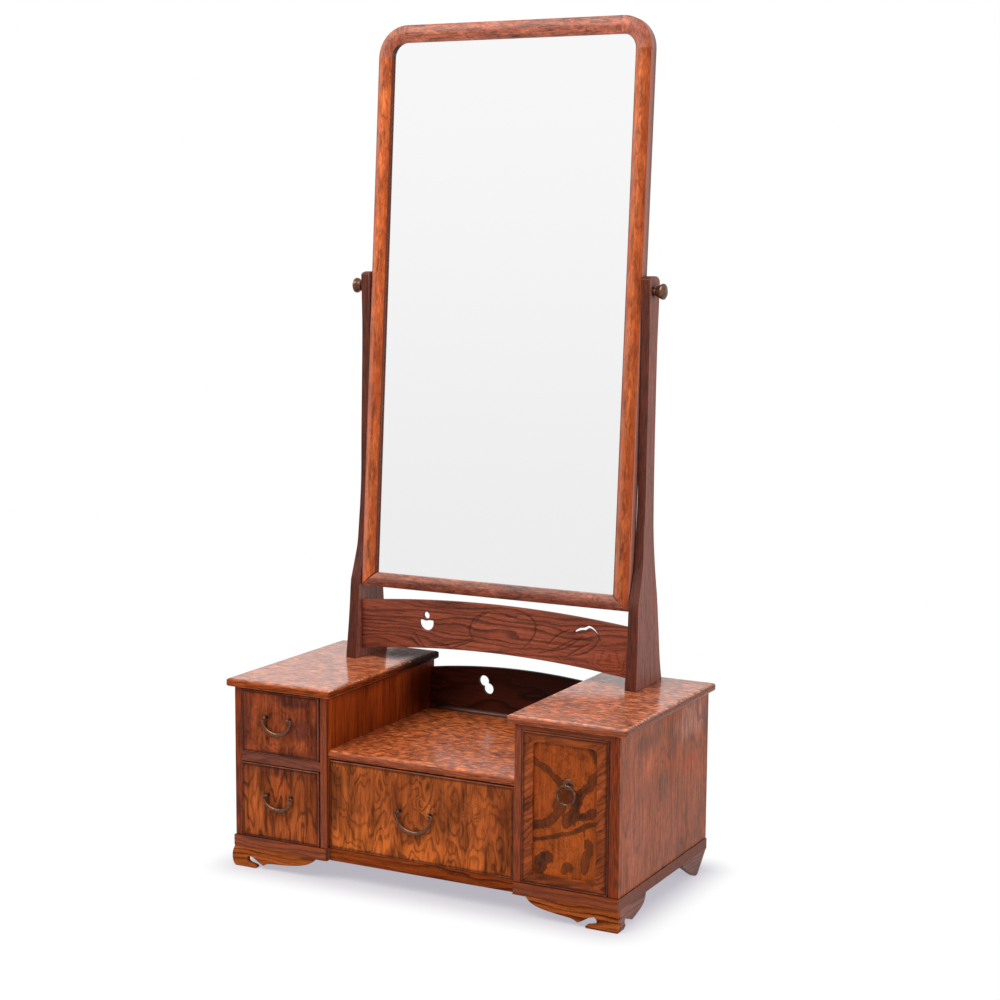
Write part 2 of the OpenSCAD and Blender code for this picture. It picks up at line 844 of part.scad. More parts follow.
module mirror_right_stile() {
  color(frame_orange) at_mirror() right_stile();
}

module mirror_top_rail() {
  reach = half_w - corner_r_out;
  color(frame_orange) at_mirror() translate([0, 0, mirror_up - member_w])
    along_x(-reach, reach) polygon([for (p = member_section(member_w)) [p[1], p[0]]]);
}

module mirror_bottom_rail() {
  color(frame_orange) at_mirror() for (s = [-1, 1]) on_side(s) intersection() {
    translate([0, 0, bottom_w - mirror_down]) along_x(0, half_w)
      polygon([for (p = member_section(bottom_w)) [p[1], -p[0]]]);
    mitre_wedge(-1);
  }
}

module mirror_corners() {
  color(frame_orange) at_mirror() for (s = [-1, 1]) on_side(s)
    translate([half_w - corner_r_out, 0, mirror_up - corner_r_out])
      rotate([-90, 0, 0]) rotate([0, 0, -90]) rotate_extrude(angle = 90)
        polygon([for (p = member_section(member_w)) [corner_r_in + p[0], p[1]]]);
}

// Plate with rounded upper corners that lies in the rebate
module rebate_plate(w0, w1) {
  grow = rebate - glass_play;
  half = opening_half + grow;
  r = corner_r_in + grow;
  low = bottom_w - mirror_down - grow;
  high = mirror_up - member_w + grow;
  along_y(w0, w1) {
    translate([-half, low]) square([2 * half, high - r - low]);
    translate([-half + r, low]) square([2 * (half - r), high - low]);
    for (x = [-half + r, half - r]) translate([x, high - r]) circle(r = r);
  }
}

module mirror_glass() {
  color(silver) at_mirror() rebate_plate(glass_w, glass_w + glass_t);
}

module mirror_backboard() {
  w0 = glass_w + glass_t;
  color(inner_wood) at_mirror() rebate_plate(w0, w0 + backboard_t);
}

module pivot_bushes() {
  color(bronze) at_mirror() for (s = [-1, 1]) on_side(s) difference() {
    rod_x(half_w - bush_l, half_w, bush_r, 0, 0);
    rod_x(half_w - bush_l - cut, half_w + cut, shank_r + pin_play, 0, 0);
  }
}

// Swell of a knob's head: share of its length from the neck, and how far it stays inside the full radius
knob_swell = [[0.42, 2], [0.63, 0.5], [0.76, 0], [0.92, 0], [0.98, 0.5]];

// Pivot knob of the right side
module pivot_knob() {
  face_r = knob_r - 1.4;
  dome = 2.2;
  face_x = knob_t - dome;
  x0 = upright_in + upright_t + knob_gap;
  x1 = x0 + collar_t + neck_l;
  shank_x = half_w - bush_l + knob_gap;
  turned_x(concat(
    [[0, shank_x], [shank_r, shank_x], [shank_r, x0], [collar_r, x0], [collar_r, x0 + collar_t]],
    [[neck_r, x0 + collar_t], [neck_r, x1], [neck_r + 1.6, x1 + 0.12 * face_x]],
    [for (p = knob_swell) [knob_r - p[1], x1 + p[0] * face_x]],
    [for (k = [0:6]) [face_r * cos(k * 90 / 6), x1 + face_x + dome * sin(k * 90 / 6)]]
  ), pivot_y, pivot_z);
}

module left_knob() {
  color(bronze) on_side(-1) pivot_knob();
}

module right_knob() {
  color(bronze) pivot_knob();
}

// Bore for the door's pins between two heights
module hinge_bore(z0, z1) {
  translate([hinge_x, hinge_y, z0]) cylinder(r = hinge_pin_r + pin_play, h = z1 - z0);
}

// The door's frame before it is cut into stiles and rails
module door_ring_frame() {
  w = door_x1 - door_x0;
  h = door_z1 - door_z0;
  difference() {
    linear_extrude_door() translate([door_x0, case_front]) {
      square([w - door_heel_r, door_t]);
      translate([w - door_heel_r, door_heel_r]) square([door_heel_r, door_t - 2 * door_heel_r]);
      for (y = [door_heel_r, door_t - door_heel_r]) translate([w - door_heel_r, y]) circle(r = door_heel_r);
    }
    along_y(case_front - cut, door_back + cut) translate([door_x0 + door_stile_w, door_z0 + door_rail_w])
      rounded_rectangle(w - 2 * door_stile_w, h - door_rail_w - door_head_w, door_corner_r);
    panel_block(0);
    translate([hinge_x, hinge_y, door_z0 - cut]) cylinder(r = hinge_pin_r, h = hinge_pin_seat + cut);
    translate([hinge_x, hinge_y, door_z1 - hinge_pin_seat]) cylinder(r = hinge_pin_r, h = hinge_pin_seat + cut);
  }
}

// Runs its children, seen from above, over the door's height
module linear_extrude_door() {
  translate([0, 0, door_z0]) linear_extrude(door_z1 - door_z0) children();
}

// Block of the door panel, drawn in by the play on its four edges
module panel_block(play) {
  inset = door_panel_tongue - play;
  span([door_x0 + door_stile_w - inset, panel_front, door_z0 + door_rail_w - inset],
    [door_x1 - door_stile_w + inset, panel_front + door_panel_t, door_z1 - door_head_w + inset]);
}

// Outline that keeps the part of the door between its left and right mitres at the ends
module rail_wedges() {
  cx = (door_x0 + door_x1) / 2;
  for (end = [[door_z0, door_rail_w], [door_z1, -door_head_w]])
    polygon([
      [door_x0 - door_stile_w / 4, end[0] - end[1] / 4],
      [door_x0 + 2 * door_stile_w, end[0] + 2 * end[1]],
      [cx, end[0] + 2 * end[1]],
      [door_x1 - 2 * door_stile_w, end[0] + 2 * end[1]],
      [door_x1 + door_stile_w / 4, end[0] - end[1] / 4]
    ]);
}

module door_stiles() {
  color(front_orange) difference() {
    door_ring_frame();
    along_y(case_front - cut, door_back + cut) rail_wedges();
  }
}

module door_rails() {
  color(front_orange) intersection() {
    door_ring_frame();
    along_y(case_front - cut, door_back + cut) rail_wedges();
  }
}

module door_panel() {
  color(front_orange) difference() {
    panel_block(groove_play);
    rod_y(panel_front - cut, panel_front + door_panel_t + cut, post_stem_r, ring_x, ring_z);
  }
}

module door_pins() {
  color(bronze) {
    translate([hinge_x, hinge_y, floor_z - hinge_pin_reach])
      cylinder(r = hinge_pin_r, h = hinge_pin_reach + door_gap_z + hinge_pin_seat);
    translate([hinge_x, hinge_y, door_z1 - hinge_pin_seat])
      cylinder(r = hinge_pin_r, h = hinge_pin_seat + door_gap_z + hinge_pin_reach);
  }
}

module door_pull() {
  panel_back = panel_front + door_panel_t;
  washer_end = panel_back + rosette_t;
  dome = [for (k = [0:6]) let (a = 70 - 70 * k / 6) [rosette_r * cos(a), panel_front - rosette_t * sin(a)]];
  color(bronze) difference() {
    turned_y(concat(
      ball_tip(eye_ball_r, post_stem_r, ring_y, 10),
      [[post_stem_r, dome[0][1]]],
      dome,
      [[post_stem_r, panel_front], [post_stem_r, panel_back], [post_washer_r, panel_back]],
      [[post_washer_r, washer_end], [0, washer_end]]
    ), ring_x, ring_z);
    rod_x(ring_x - eye_ball_r - cut, ring_x + eye_ball_r + cut, ring_wire_r + ring_play, ring_y, ring_z);
  }
}

module door_ring() {
  color(bronze) translate([ring_x, ring_y, ring_z - ring_r]) rotate([90, 0, 0])
    rotate_extrude() translate([ring_r, 0]) circle(r = ring_wire_r);
}

// Faces of the drawer that runs in a bay
function drawer_x0(bay) = bay[0] + drawer_gap_l;
function drawer_x1(bay) = bay[1] - drawer_gap_r;
function drawer_z0(bay) = bay[3] + drawer_gap_bottom;
function drawer_z1(bay) = bay[4] - drawer_gap_top;
function for_bay(bay, upper, lower, centre) = bay == upper_bay ? upper : bay == lower_bay ? lower : centre;
function pull_x(bay) =
  (drawer_x0(bay) + drawer_x1(bay)) / 2 + for_bay(bay, upper_pull_shift, lower_pull_shift, centre_pull_shift);
function pull_z(bay) =
  (drawer_z0(bay) + drawer_z1(bay)) / 2 + for_bay(bay, upper_pull_up, lower_pull_up, centre_pull_up);
function pull_pitch(bay) = bay == centre_bay ? large_pitch : small_pitch;
drawer_rear = case_back - drawer_gap_back;

// Bottom of the drawer, drawn in by the play on the edges that its grooves hold
module bottom_block(bay, play, rear) {
  inset = drawer_side_t - groove_depth + play;
  z0 = drawer_z0(bay) + groove_up;
  span([drawer_x0(bay) + inset, bay[2] + drawer_front_t - groove_depth + play, z0],
    [drawer_x1(bay) - inset, rear, z0 + drawer_bottom_t]);
}

module drawer_front(bay) {
  color(front_orange) difference() {
    span([drawer_x0(bay), bay[2], drawer_z0(bay)],
      [drawer_x1(bay), bay[2] + drawer_front_t, drawer_z1(bay)]);
    bottom_block(bay, 0, drawer_rear);
    for (s = [-1, 1])
      rod_y(bay[2] - cut, bay[2] + drawer_front_t + cut, post_stem_r,
        pull_x(bay) + s * pull_pitch(bay) / 2, pull_z(bay));
  }
}

module drawer_sides(bay) {
  y0 = bay[2] + drawer_front_t;
  z1 = drawer_z1(bay) - drawer_side_drop;
  color(inner_wood) difference() {
    union() {
      span([drawer_x0(bay), y0, drawer_z0(bay)], [drawer_x0(bay) + drawer_side_t, drawer_rear, z1]);
      span([drawer_x1(bay) - drawer_side_t, y0, drawer_z0(bay)], [drawer_x1(bay), drawer_rear, z1]);
    }
    bottom_block(bay, 0, drawer_rear + cut);
  }
}

module drawer_back(bay) {
  z0 = drawer_z0(bay) + groove_up + drawer_bottom_t;
  color(inner_wood)
    span([drawer_x0(bay) + drawer_side_t, drawer_rear - drawer_side_t, z0],
      [drawer_x1(bay) - drawer_side_t, drawer_rear, drawer_z1(bay) - drawer_side_drop]);
}

module drawer_bottom(bay) {
  color(inner_wood) bottom_block(bay, groove_play, drawer_rear);
}

module drawer_posts(bay) {
  y = bay[2] - pull_stand;
  inside = bay[2] + drawer_front_t;
  washer_t = 1;
  nut_end = inside + 2 * washer_t;
  color(bronze) for (s = [-1, 1]) {
    x = pull_x(bay) + s * pull_pitch(bay) / 2;
    difference() {
      turned_y(concat(
        ball_tip(post_ball_r, post_stem_r, y, 8),
        [[post_stem_r, bay[2] - washer_t], [post_washer_r, bay[2] - washer_t], [post_washer_r, bay[2]]],
        [[post_stem_r, bay[2]], [post_stem_r, inside], [post_washer_r, inside]],
        [[post_washer_r, nut_end], [0, nut_end]]
      ), x, pull_z(bay));
      rod_x(x - post_ball_r - cut, x + post_ball_r + cut, bail_pin_r + pin_play, y, pull_z(bay));
    }
  }
}

module drawer_bail(bay) {
  half = pull_pitch(bay) / 2;
  bail_r = half + post_ball_r + knob_gap + bail_wire_r;
  pin_l = bail_r - half + 2;
  color(bronze) translate([pull_x(bay), bay[2] - pull_stand, pull_z(bay)]) {
    rotate([90, 0, 0]) rotate([0, 0, 180]) rotate_extrude(angle = 180)
      translate([bail_r, 0]) circle(r = bail_wire_r);
    for (s = [-1, 1]) {
      translate([s * bail_r, 0, 0]) sphere(r = bail_wire_r);
      rod_x(s > 0 ? bail_r - pin_l : -bail_r, s > 0 ? bail_r : pin_l - bail_r, bail_pin_r, 0, 0);
    }
  }
}

left_top();
right_top();
centre_top();
left_outer_side();
left_inner_side();
right_inner_side();
right_outer_side();
left_back();
centre_back();
right_back();
bottom_board();
left_divider();
plinth_bands();
left_front_bracket();
right_front_bracket();
left_side_brackets();
right_side_brackets();
gallery_board();
gallery_bead();
left_upright();
right_upright();
carved_rail();
case_rail();
door_stop();
mirror_left_stile();
mirror_right_stile();
mirror_top_rail();
mirror_bottom_rail();
mirror_corners();
mirror_glass();
mirror_backboard();
pivot_bushes();
left_knob();
right_knob();
door_stiles();
door_rails();
door_panel();
door_pins();
door_pull();
door_ring();
drawer_front(upper_bay);  // upper_drawer_front
drawer_sides(upper_bay);  // upper_drawer_sides
drawer_back(upper_bay);  // upper_drawer_back
drawer_bottom(upper_bay);  // upper_drawer_bottom
drawer_posts(upper_bay);  // upper_drawer_posts
drawer_bail(upper_bay);  // upper_drawer_bail
drawer_front(lower_bay);  // lower_drawer_front
drawer_sides(lower_bay);  // lower_drawer_sides
drawer_back(lower_bay);  // lower_drawer_back
drawer_bottom(lower_bay);  // lower_drawer_bottom
drawer_posts(lower_bay);  // lower_drawer_posts
drawer_bail(lower_bay);  // lower_drawer_bail
drawer_front(centre_bay);  // centre_drawer_front
drawer_sides(centre_bay);  // centre_drawer_sides
drawer_back(centre_bay);  // centre_drawer_back
drawer_bottom(centre_bay);  // centre_drawer_bottom
drawer_posts(centre_bay);  // centre_drawer_posts
drawer_bail(centre_bay);  // centre_drawer_bail
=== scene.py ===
"""Dresses the tilting dressing mirror: figured and lacquered wood, silvered glass and aged bronze."""

import json
import math
from typing import NamedTuple

import bmesh
import bpy
import numpy as np
from bpy.props import FloatProperty, FloatVectorProperty, PointerProperty
from mathutils import Matrix, Vector


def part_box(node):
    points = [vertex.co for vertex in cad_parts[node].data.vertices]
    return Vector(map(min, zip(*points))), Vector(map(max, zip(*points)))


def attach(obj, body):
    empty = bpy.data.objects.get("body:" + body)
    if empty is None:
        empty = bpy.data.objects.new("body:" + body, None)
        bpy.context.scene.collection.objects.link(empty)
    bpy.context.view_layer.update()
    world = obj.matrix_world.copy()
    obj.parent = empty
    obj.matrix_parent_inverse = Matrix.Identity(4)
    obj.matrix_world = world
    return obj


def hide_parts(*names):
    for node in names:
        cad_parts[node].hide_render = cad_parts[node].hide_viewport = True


bl_info = {
    "name": "Dressing mirror finishes",
    "version": (1, 0, 0),
    "blender": (4, 5, 0),
    "location": "View3D > Sidebar > Dressing mirror",
    "description": "Figured wood, carving, silvered glass and aged bronze for a tilting dressing mirror",
    "category": "Object",
}

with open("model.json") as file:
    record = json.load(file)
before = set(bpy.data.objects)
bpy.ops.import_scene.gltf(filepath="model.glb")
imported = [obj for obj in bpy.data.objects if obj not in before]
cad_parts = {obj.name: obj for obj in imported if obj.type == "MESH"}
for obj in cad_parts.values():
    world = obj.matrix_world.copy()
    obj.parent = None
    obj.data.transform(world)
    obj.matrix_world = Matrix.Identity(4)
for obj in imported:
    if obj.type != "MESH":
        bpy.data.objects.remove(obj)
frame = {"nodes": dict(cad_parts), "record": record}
BODY_OF = {node: body for body, nodes in frame["record"]["behaviour"]["bodies"].items() for node in nodes}
SLOT_OF = {part["node"]: part["material_slot"] for part in frame["record"]["subparts"]}
AXES = {"x": 0, "y": 1, "z": 2}
UP = Vector((0, 0, 1))
# How far the mirror leans back at rest, and the directions up and back through its frame
MIRROR_LEAN = math.radians(3.8)
MIRROR_UP = Vector((0, math.sin(MIRROR_LEAN), math.cos(MIRROR_LEAN)))
MIRROR_BACK = Vector((0, math.cos(MIRROR_LEAN), -math.sin(MIRROR_LEAN)))


def paint(red, green, blue):
    """A colour as it is seen on a screen, from 0 to 255, as the linear one that a shader needs."""
    seen = [value / 255 for value in (red, green, blue)]
    return tuple(v / 12.92 if v < 0.04045 else ((v + 0.055) / 1.055) ** 2.4 for v in seen)


def scaled(colour, share):
    """A colour made darker or lighter."""
    return tuple(v * share for v in colour)


# Shader sums


class Value:
    """A shader socket that does sums with numbers and other sockets."""

    def __init__(self, sheet, socket):
        self.sheet = sheet
        self.socket = socket

    def _math(self, operation, first, second=None, clamp=False):
        inputs = {0: first} if second is None else {0: first, 1: second}
        return self.sheet.node("ShaderNodeMath", {"operation": operation, "use_clamp": clamp}, inputs)

    def __add__(self, other):
        return self._math("ADD", self, other)

    __radd__ = __add__

    def __sub__(self, other):
        return self._math("SUBTRACT", self, other)

    def __rsub__(self, other):
        return self._math("SUBTRACT", other, self)

    def __mul__(self, other):
        return self._math("MULTIPLY", self, other)

    __rmul__ = __mul__

    def __abs__(self):
        return self._math("ABSOLUTE", self)

    def least(self, other):
        return self._math("MINIMUM", self, other)

    def most(self, other):
        return self._math("MAXIMUM", self, other)

    def sign(self):
        return self._math("SIGN", self)

    def fraction(self):
        return self._math("FRACT", self)

    def clamped(self):
        return self._math("ADD", self, 0.0, clamp=True)

    def step(self, low, high):
        """0 below low, 1 above high, and smooth between them."""
        settings = {"interpolation_type": "SMOOTHSTEP"}
        inputs = {"Value": self, "From Min": low, "From Max": high}
        return self.sheet.node("ShaderNodeMapRange", settings, inputs)


class Sheet:
    """The nodes of a material, or of a world, each written by one method."""

    def __init__(self, name, world=False):
        self.material = (bpy.data.worlds if world else bpy.data.materials).new(name)
        self.material.use_nodes = True
        self.tree = self.material.node_tree
        self.tree.nodes.clear()
        self.end = "ShaderNodeOutputWorld" if world else "ShaderNodeOutputMaterial"

    def node(self, kind, settings=None, inputs=None, output=0):
        """A node with its settings, and with numbers or other sockets on its inputs."""
        made = self.tree.nodes.new(kind)
        for key, value in (settings or {}).items():
            setattr(made, key, value)
        for key, value in (inputs or {}).items():
            if isinstance(value, Value):
                self.tree.links.new(value.socket, made.inputs[key])
            else:
                made.inputs[key].default_value = value
        return Value(self, made.outputs[output]) if made.outputs else None

    def place(self):
        return self.node("ShaderNodeTexCoord", output="Object")

    def vector(self, operation, first, second):
        return self.node("ShaderNodeVectorMath", {"operation": operation}, {0: first, 1: second})

    def length(self, vector):
        return self.node("ShaderNodeVectorMath", {"operation": "LENGTH"}, {0: vector}, output="Value")

    def dot(self, vector, other):
        inputs = {0: vector, 1: other}
        return self.node("ShaderNodeVectorMath", {"operation": "DOT_PRODUCT"}, inputs, output="Value")

    def part(self, vector, axis):
        """A vector's share along one axis."""
        return self.node("ShaderNodeSeparateXYZ", {}, {0: vector}, output=AXES[axis])

    def noise(self, vector, scale, detail=2.0, roughness=0.5, coloured=False):
        inputs = {"Vector": vector, "Scale": scale, "Detail": detail, "Roughness": roughness}
        return self.node("ShaderNodeTexNoise", {}, inputs, output=1 if coloured else 0)

    def blend(self, share, first, second, kind="MIX"):
        first, second = ((*tint, 1) if isinstance(tint, tuple) else tint for tint in (first, second))
        # A Mix node keeps its share at 0 and its colours at 6 and 7, and gives a colour out at 2
        inputs = {0: share, 6: first, 7: second}
        return self.node("ShaderNodeMix", {"data_type": "RGBA", "blend_type": kind}, inputs, output=2)

    def grey(self, value):
        """A value as a colour."""
        return self.node("ShaderNodeCombineXYZ", {}, {0: value, 1: value, 2: value})

    def surface(self, inputs):
        """The material, with one principled shader."""
        self.finish(self.node("ShaderNodeBsdfPrincipled", {}, inputs))
        return self.material

    def finish(self, shader):
        """The shader on the output."""
        self.node(self.end, {}, {"Surface": shader})


# Wood

# Noises of the wood in waves per metre: its fibres, the streaks of them, how knots, stains and painted shade
# sway, and how dirt, painted shade and wear along an edge do
FIBRES, STREAKS, KNOT_SWAY, EDGE_SWAY = 820, 240, 60, 70
# The same for the ragged edge of the door's dark bands and the smoke in them
BAND_EDGE, SMOKE = 62, 130
# How far fibres and flecks are drawn out along the grain
FIBRE_STRETCH, FLECK_STRETCH = 16, 2.6
WORN_EDGE = paint(166, 112, 98)
# Heights in metres between which painted shade darkens the mirror's frame towards its foot
FADED, UNFADED = 0.4, 1.15


class Figure(NamedTuple):
    """How a board is figured and finished. Lengths are in metres."""

    # Colours of the wood, its veins and its light places
    ground: tuple
    vein: tuple
    light: tuple
    # Axis of the grain, size of the slow noise under the rings, how far it is drawn out along the grain and
    # pressed flat in height, and how far the grain leans to the side, in radians
    grain: str = "z"
    feature: float = 0.02
    stretch: float = 2.5
    flat: float = 1.0
    tilt: float = 0.0
    # Rings over the noise's range, straight ones per metre across an axis, and how much both wander
    rings: float = 4.5
    across: str = "x"
    straight: float = 0.0
    warp: float = 0.6
    ragged: float = 0.12
    # Share of a ring that is vein, how strong it is and how soft its edges are
    vein_share: float = 0.55
    strength: float = 0.8
    soft: float = 0.22
    # Light and dark: slow drift, flecks and their waves per metre, fibres, whole board, and painted shade
    # towards the foot
    curl: float = 0.2
    fleck: float = 0.0
    speck: float = 300.0
    contrast: float = 1.0
    shade: float = 1.0
    fade: float = 0.0
    # Lacquer, and the relief of the flecks in it
    rough: float = 0.42
    gloss: float = 0.12
    coat: float = 0.0
    ripple: float = 0.0
    # Dirt and painted shade, and wear, along the edges of the wide faces
    rim: float = 0.0
    worn: float = 0.0
    # Colours of the narrow faces, of faces to the sides as a painted reflection, and of a mirror frame in
    # painted light: a painted reflection on its outer walls, painted shade on its inner walls, and on its face
    # a painted highlight to the left and painted shade to the right. Then how much darker narrow faces to the
    # sides are, as painted shade, and how strong the painted shade is in the crease between a frame's face and
    # its outer wall
    edge: tuple = ()
    flank: tuple = ()
    walls: tuple = ()
    dim: float = 0.0
    crease: float = 0.7
    # Knots (centre, radii, rings) and spots (centre, radii, tint, share), in millimetres: stains, and on the
    # left top and the left inner side painted light and shade
    eyes: tuple = ()
    spots: tuple = ()


class Plank(NamedTuple):
    """What the layers of one board's colour share.

    A point of the board is at place. Start is where it lies in the wood, and loose is the place with a sway.
    Fibre, streak and patch are noises from 0 to 1, and facing is the way that the surface looks.
    """

    node: str
    look: Figure
    sheet: Sheet
    place: Value
    start: Value
    loose: Value
    fibre: Value
    streak: Value
    patch: Value
    facing: Value

    def side(self, axis):
        """How squarely a point faces along an axis."""
        return self.sheet.part(self.facing, axis)


def stretched(axis, length, flat=1.0):
    """Factors that draw a pattern out along one axis and press it flat in height."""
    return tuple((1 / length if name == axis else 1.0) * (flat if name == "z" else 1.0) for name in AXES)


def swayed(sheet, place, start, scale, amount, detail=2.0):
    """A place pushed about by a slow noise, so that what is drawn there wanders."""
    push = sheet.noise(start, scale, detail, coloured=True)
    push = sheet.vector("SUBTRACT", push, (0.5, 0.5, 0.5))
    return sheet.vector("ADD", place, sheet.vector("MULTIPLY", push, (amount,) * 3))


def oval(sheet, place, centre, radii):
    """1 at a place in the wood that fades to 0 at its radii, all in millimetres."""
    gap = sheet.vector("SUBTRACT", place, tuple(v / 1000 for v in centre))
    gap = sheet.vector("DIVIDE", gap, tuple(v / 1000 for v in radii))
    return 1 - sheet.length(gap).step(0.25, 1.0)


def stains_and_shade(sheet, place, colour, spots):
    """The colour with a tint laid over it at each spot: stains on most boards, and painted light and shade on
    the left top and the left inner side.
    """
    for centre, radii, tint, share in spots:
        colour = sheet.blend(oval(sheet, place, centre, radii) * share, colour, tint)
    return colour


def thin_axis(node):
    """The axis across a board's thickness."""
    low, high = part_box(node)
    return min(AXES, key=lambda axis: high[AXES[axis]] - low[AXES[axis]])


def edge_gap(sheet, place, node):
    """How far a point on a board is from the nearest edge of its two wide faces."""
    low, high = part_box(node)
    inside = sheet.vector("MINIMUM", sheet.vector("SUBTRACT", place, tuple(low)),
                          sheet.vector("SUBTRACT", tuple(high), place))
    first, second = (sheet.part(inside, axis) for axis in AXES if axis != thin_axis(node))
    return first.least(second)


def ring_saw(plank, drawn, bands):
    """A saw that rises once from ring to ring. The rings are contour lines of a slow noise."""
    sheet, look = plank.sheet, plank.look
    bent = swayed(sheet, drawn, drawn, 0.7 / look.feature, look.feature * look.warp)
    bent = swayed(sheet, bent, plank.start, 5.0 / look.feature, look.feature * look.ragged)
    count = sheet.noise(bent, 1 / look.feature, 1.2, 0.42) * look.rings
    if look.straight:
        count = count + sheet.part(bent, look.across) * look.straight
    for centre, radii, weight in look.eyes:
        count = count + oval(sheet, plank.loose, centre, radii) * weight
    if bands is not None:
        count = count + bands * 2.2
    return count.fraction()


def narrow_faces(plank, colour):
    """End grain and layers on the faces across a board's thickness."""
    sheet, look = plank.sheet, plank.look
    thin = thin_axis(plank.node)
    along = (520, 45, 45) if thin == "x" else (45, 45, 620)
    layer = sheet.noise(sheet.vector("MULTIPLY", plank.start, along), 1.0, 3.0, 0.6).step(0.32, 0.68)
    tint = sheet.blend(layer, scaled(look.edge, 0.42), scaled(look.edge, 1.25))
    # Narrow faces to the sides are made darker by dim, a painted shade, and on a board with dim the first spot
    # lays more painted shade on them
    tone = (0.6 + plank.fibre * 0.8) * (1 - abs(plank.side("x")) * look.dim)
    tint = sheet.blend(1.0, tint, sheet.grey(tone), "MULTIPLY")
    if look.dim:
        tint = stains_and_shade(sheet, plank.place, tint, look.spots[:1])
    return sheet.blend(1 - abs(plank.side(thin)).step(0.45, 0.85), colour, tint)


def flanks(plank, colour):
    """A painted reflection that turns the faces to the left and right greyer."""
    sheet, flank = plank.sheet, plank.look.flank
    tint = sheet.blend(plank.fibre.step(0.3, 0.7), scaled(flank, 0.7), scaled(flank, 1.2))
    return sheet.blend(abs(plank.side("x")).step(0.6, 0.9) * 0.85, colour, tint)


def frame_walls(plank, colour):
    """Painted light on the mirror's frame: a highlight left and shade right on its crowned face, a reflection
    on its outer walls and shade on its inner walls.
    """
    sheet, look, patch = plank.sheet, plank.look, plank.patch
    east = plank.side("x")
    outward = east * sheet.part(plank.place, "x").sign()
    # Tints: a painted reflection on the outer wall, painted shade on the inner wall, a painted highlight to the
    # left of the face and painted shade to its right
    outer, inner, left_highlight, right_shade = (sheet.blend(plank.fibre, scaled(tint, 0.7), scaled(tint, 1.15))
                                 for tint in look.walls)
    colour = sheet.blend((east * -1).step(0.0, 0.42) * (0.3 + patch * 0.4), colour, left_highlight)
    colour = sheet.blend(east.step(0.02, 0.4) * (0.35 + patch * 0.35), colour, right_shade)
    colour = sheet.blend(outward.step(0.44, 0.75), colour, outer)
    colour = sheet.blend((outward * -1).step(0.4, 0.55), colour, inner)
    # Painted shade: the outer wall darkens towards the back, and over the crease between it and the face
    reach = [v.co.dot(MIRROR_BACK) for v in frame["nodes"][plank.node].data.vertices]
    behind = sheet.dot(plank.place, MIRROR_BACK).step(min(reach) * 0.9 + max(reach) * 0.1, max(reach))
    colour = sheet.blend(outward.step(0.7, 0.95) * behind * 0.8, colour, scaled(look.walls[0], 0.3))
    crease = outward.step(0.4, 0.5) - outward.step(0.6, 0.85)
    return sheet.blend(crease * look.crease, colour, scaled(look.walls[1], 0.7))


def rim(plank, colour):
    """Dirt and painted shade just inside the edges of the wide faces, and bare wood on the edges, both with
    gaps.
    """
    sheet, look = plank.sheet, plank.look
    gap = edge_gap(sheet, swayed(sheet, plank.place, plank.start, EDGE_SWAY, 0.0016), plank.node)
    dirt_and_shade = gap.step(0.0, 0.0012) - gap.step(0.0022, 0.0055)
    colour = sheet.blend(dirt_and_shade * look.rim, colour, scaled(look.vein, 0.5))
    wear = (1 - gap.step(0.0007, 0.0016)) * (0.45 + plank.patch * 0.55)
    return sheet.blend(wear * look.worn, colour, WORN_EDGE)


def dark_bands(plank, bands, colour):
    """Smoky bands with dark outlines."""
    sheet, look, streak = plank.sheet, plank.look, plank.streak
    outline = bands.step(0.18, 0.4) - bands.step(0.42, 0.75)
    smoke = sheet.noise(plank.start, SMOKE, 4.0, 0.65) * 0.55 + streak * 0.5
    smoke = sheet.blend(smoke.step(0.4, 0.66), scaled(look.vein, 0.6), scaled(look.vein, 2.4))
    colour = sheet.blend(bands.step(0.1, 0.8) * (0.5 + plank.patch * 0.3 + plank.fibre * 0.3), colour, smoke)
    return sheet.blend(outline * (0.2 + streak * 0.5), colour, scaled(look.vein, 0.5))


def shine(plank):
    """The coat's weight, on what faces up and lies outside the spots, which on the left top are its painted
    shade.
    """
    weight = plank.side("z").step(0.5, 0.95) * plank.look.coat
    for centre, radii, _, share in plank.look.spots:
        weight = weight * (1 - oval(plank.sheet, plank.loose, centre, radii) * share)
    return weight


def shift_of(number):
    """A place in the wood of its own for each board, so that no two boards match."""
    return (0.37 * number, 0.61 * number + 0.2, 0.83 * number)


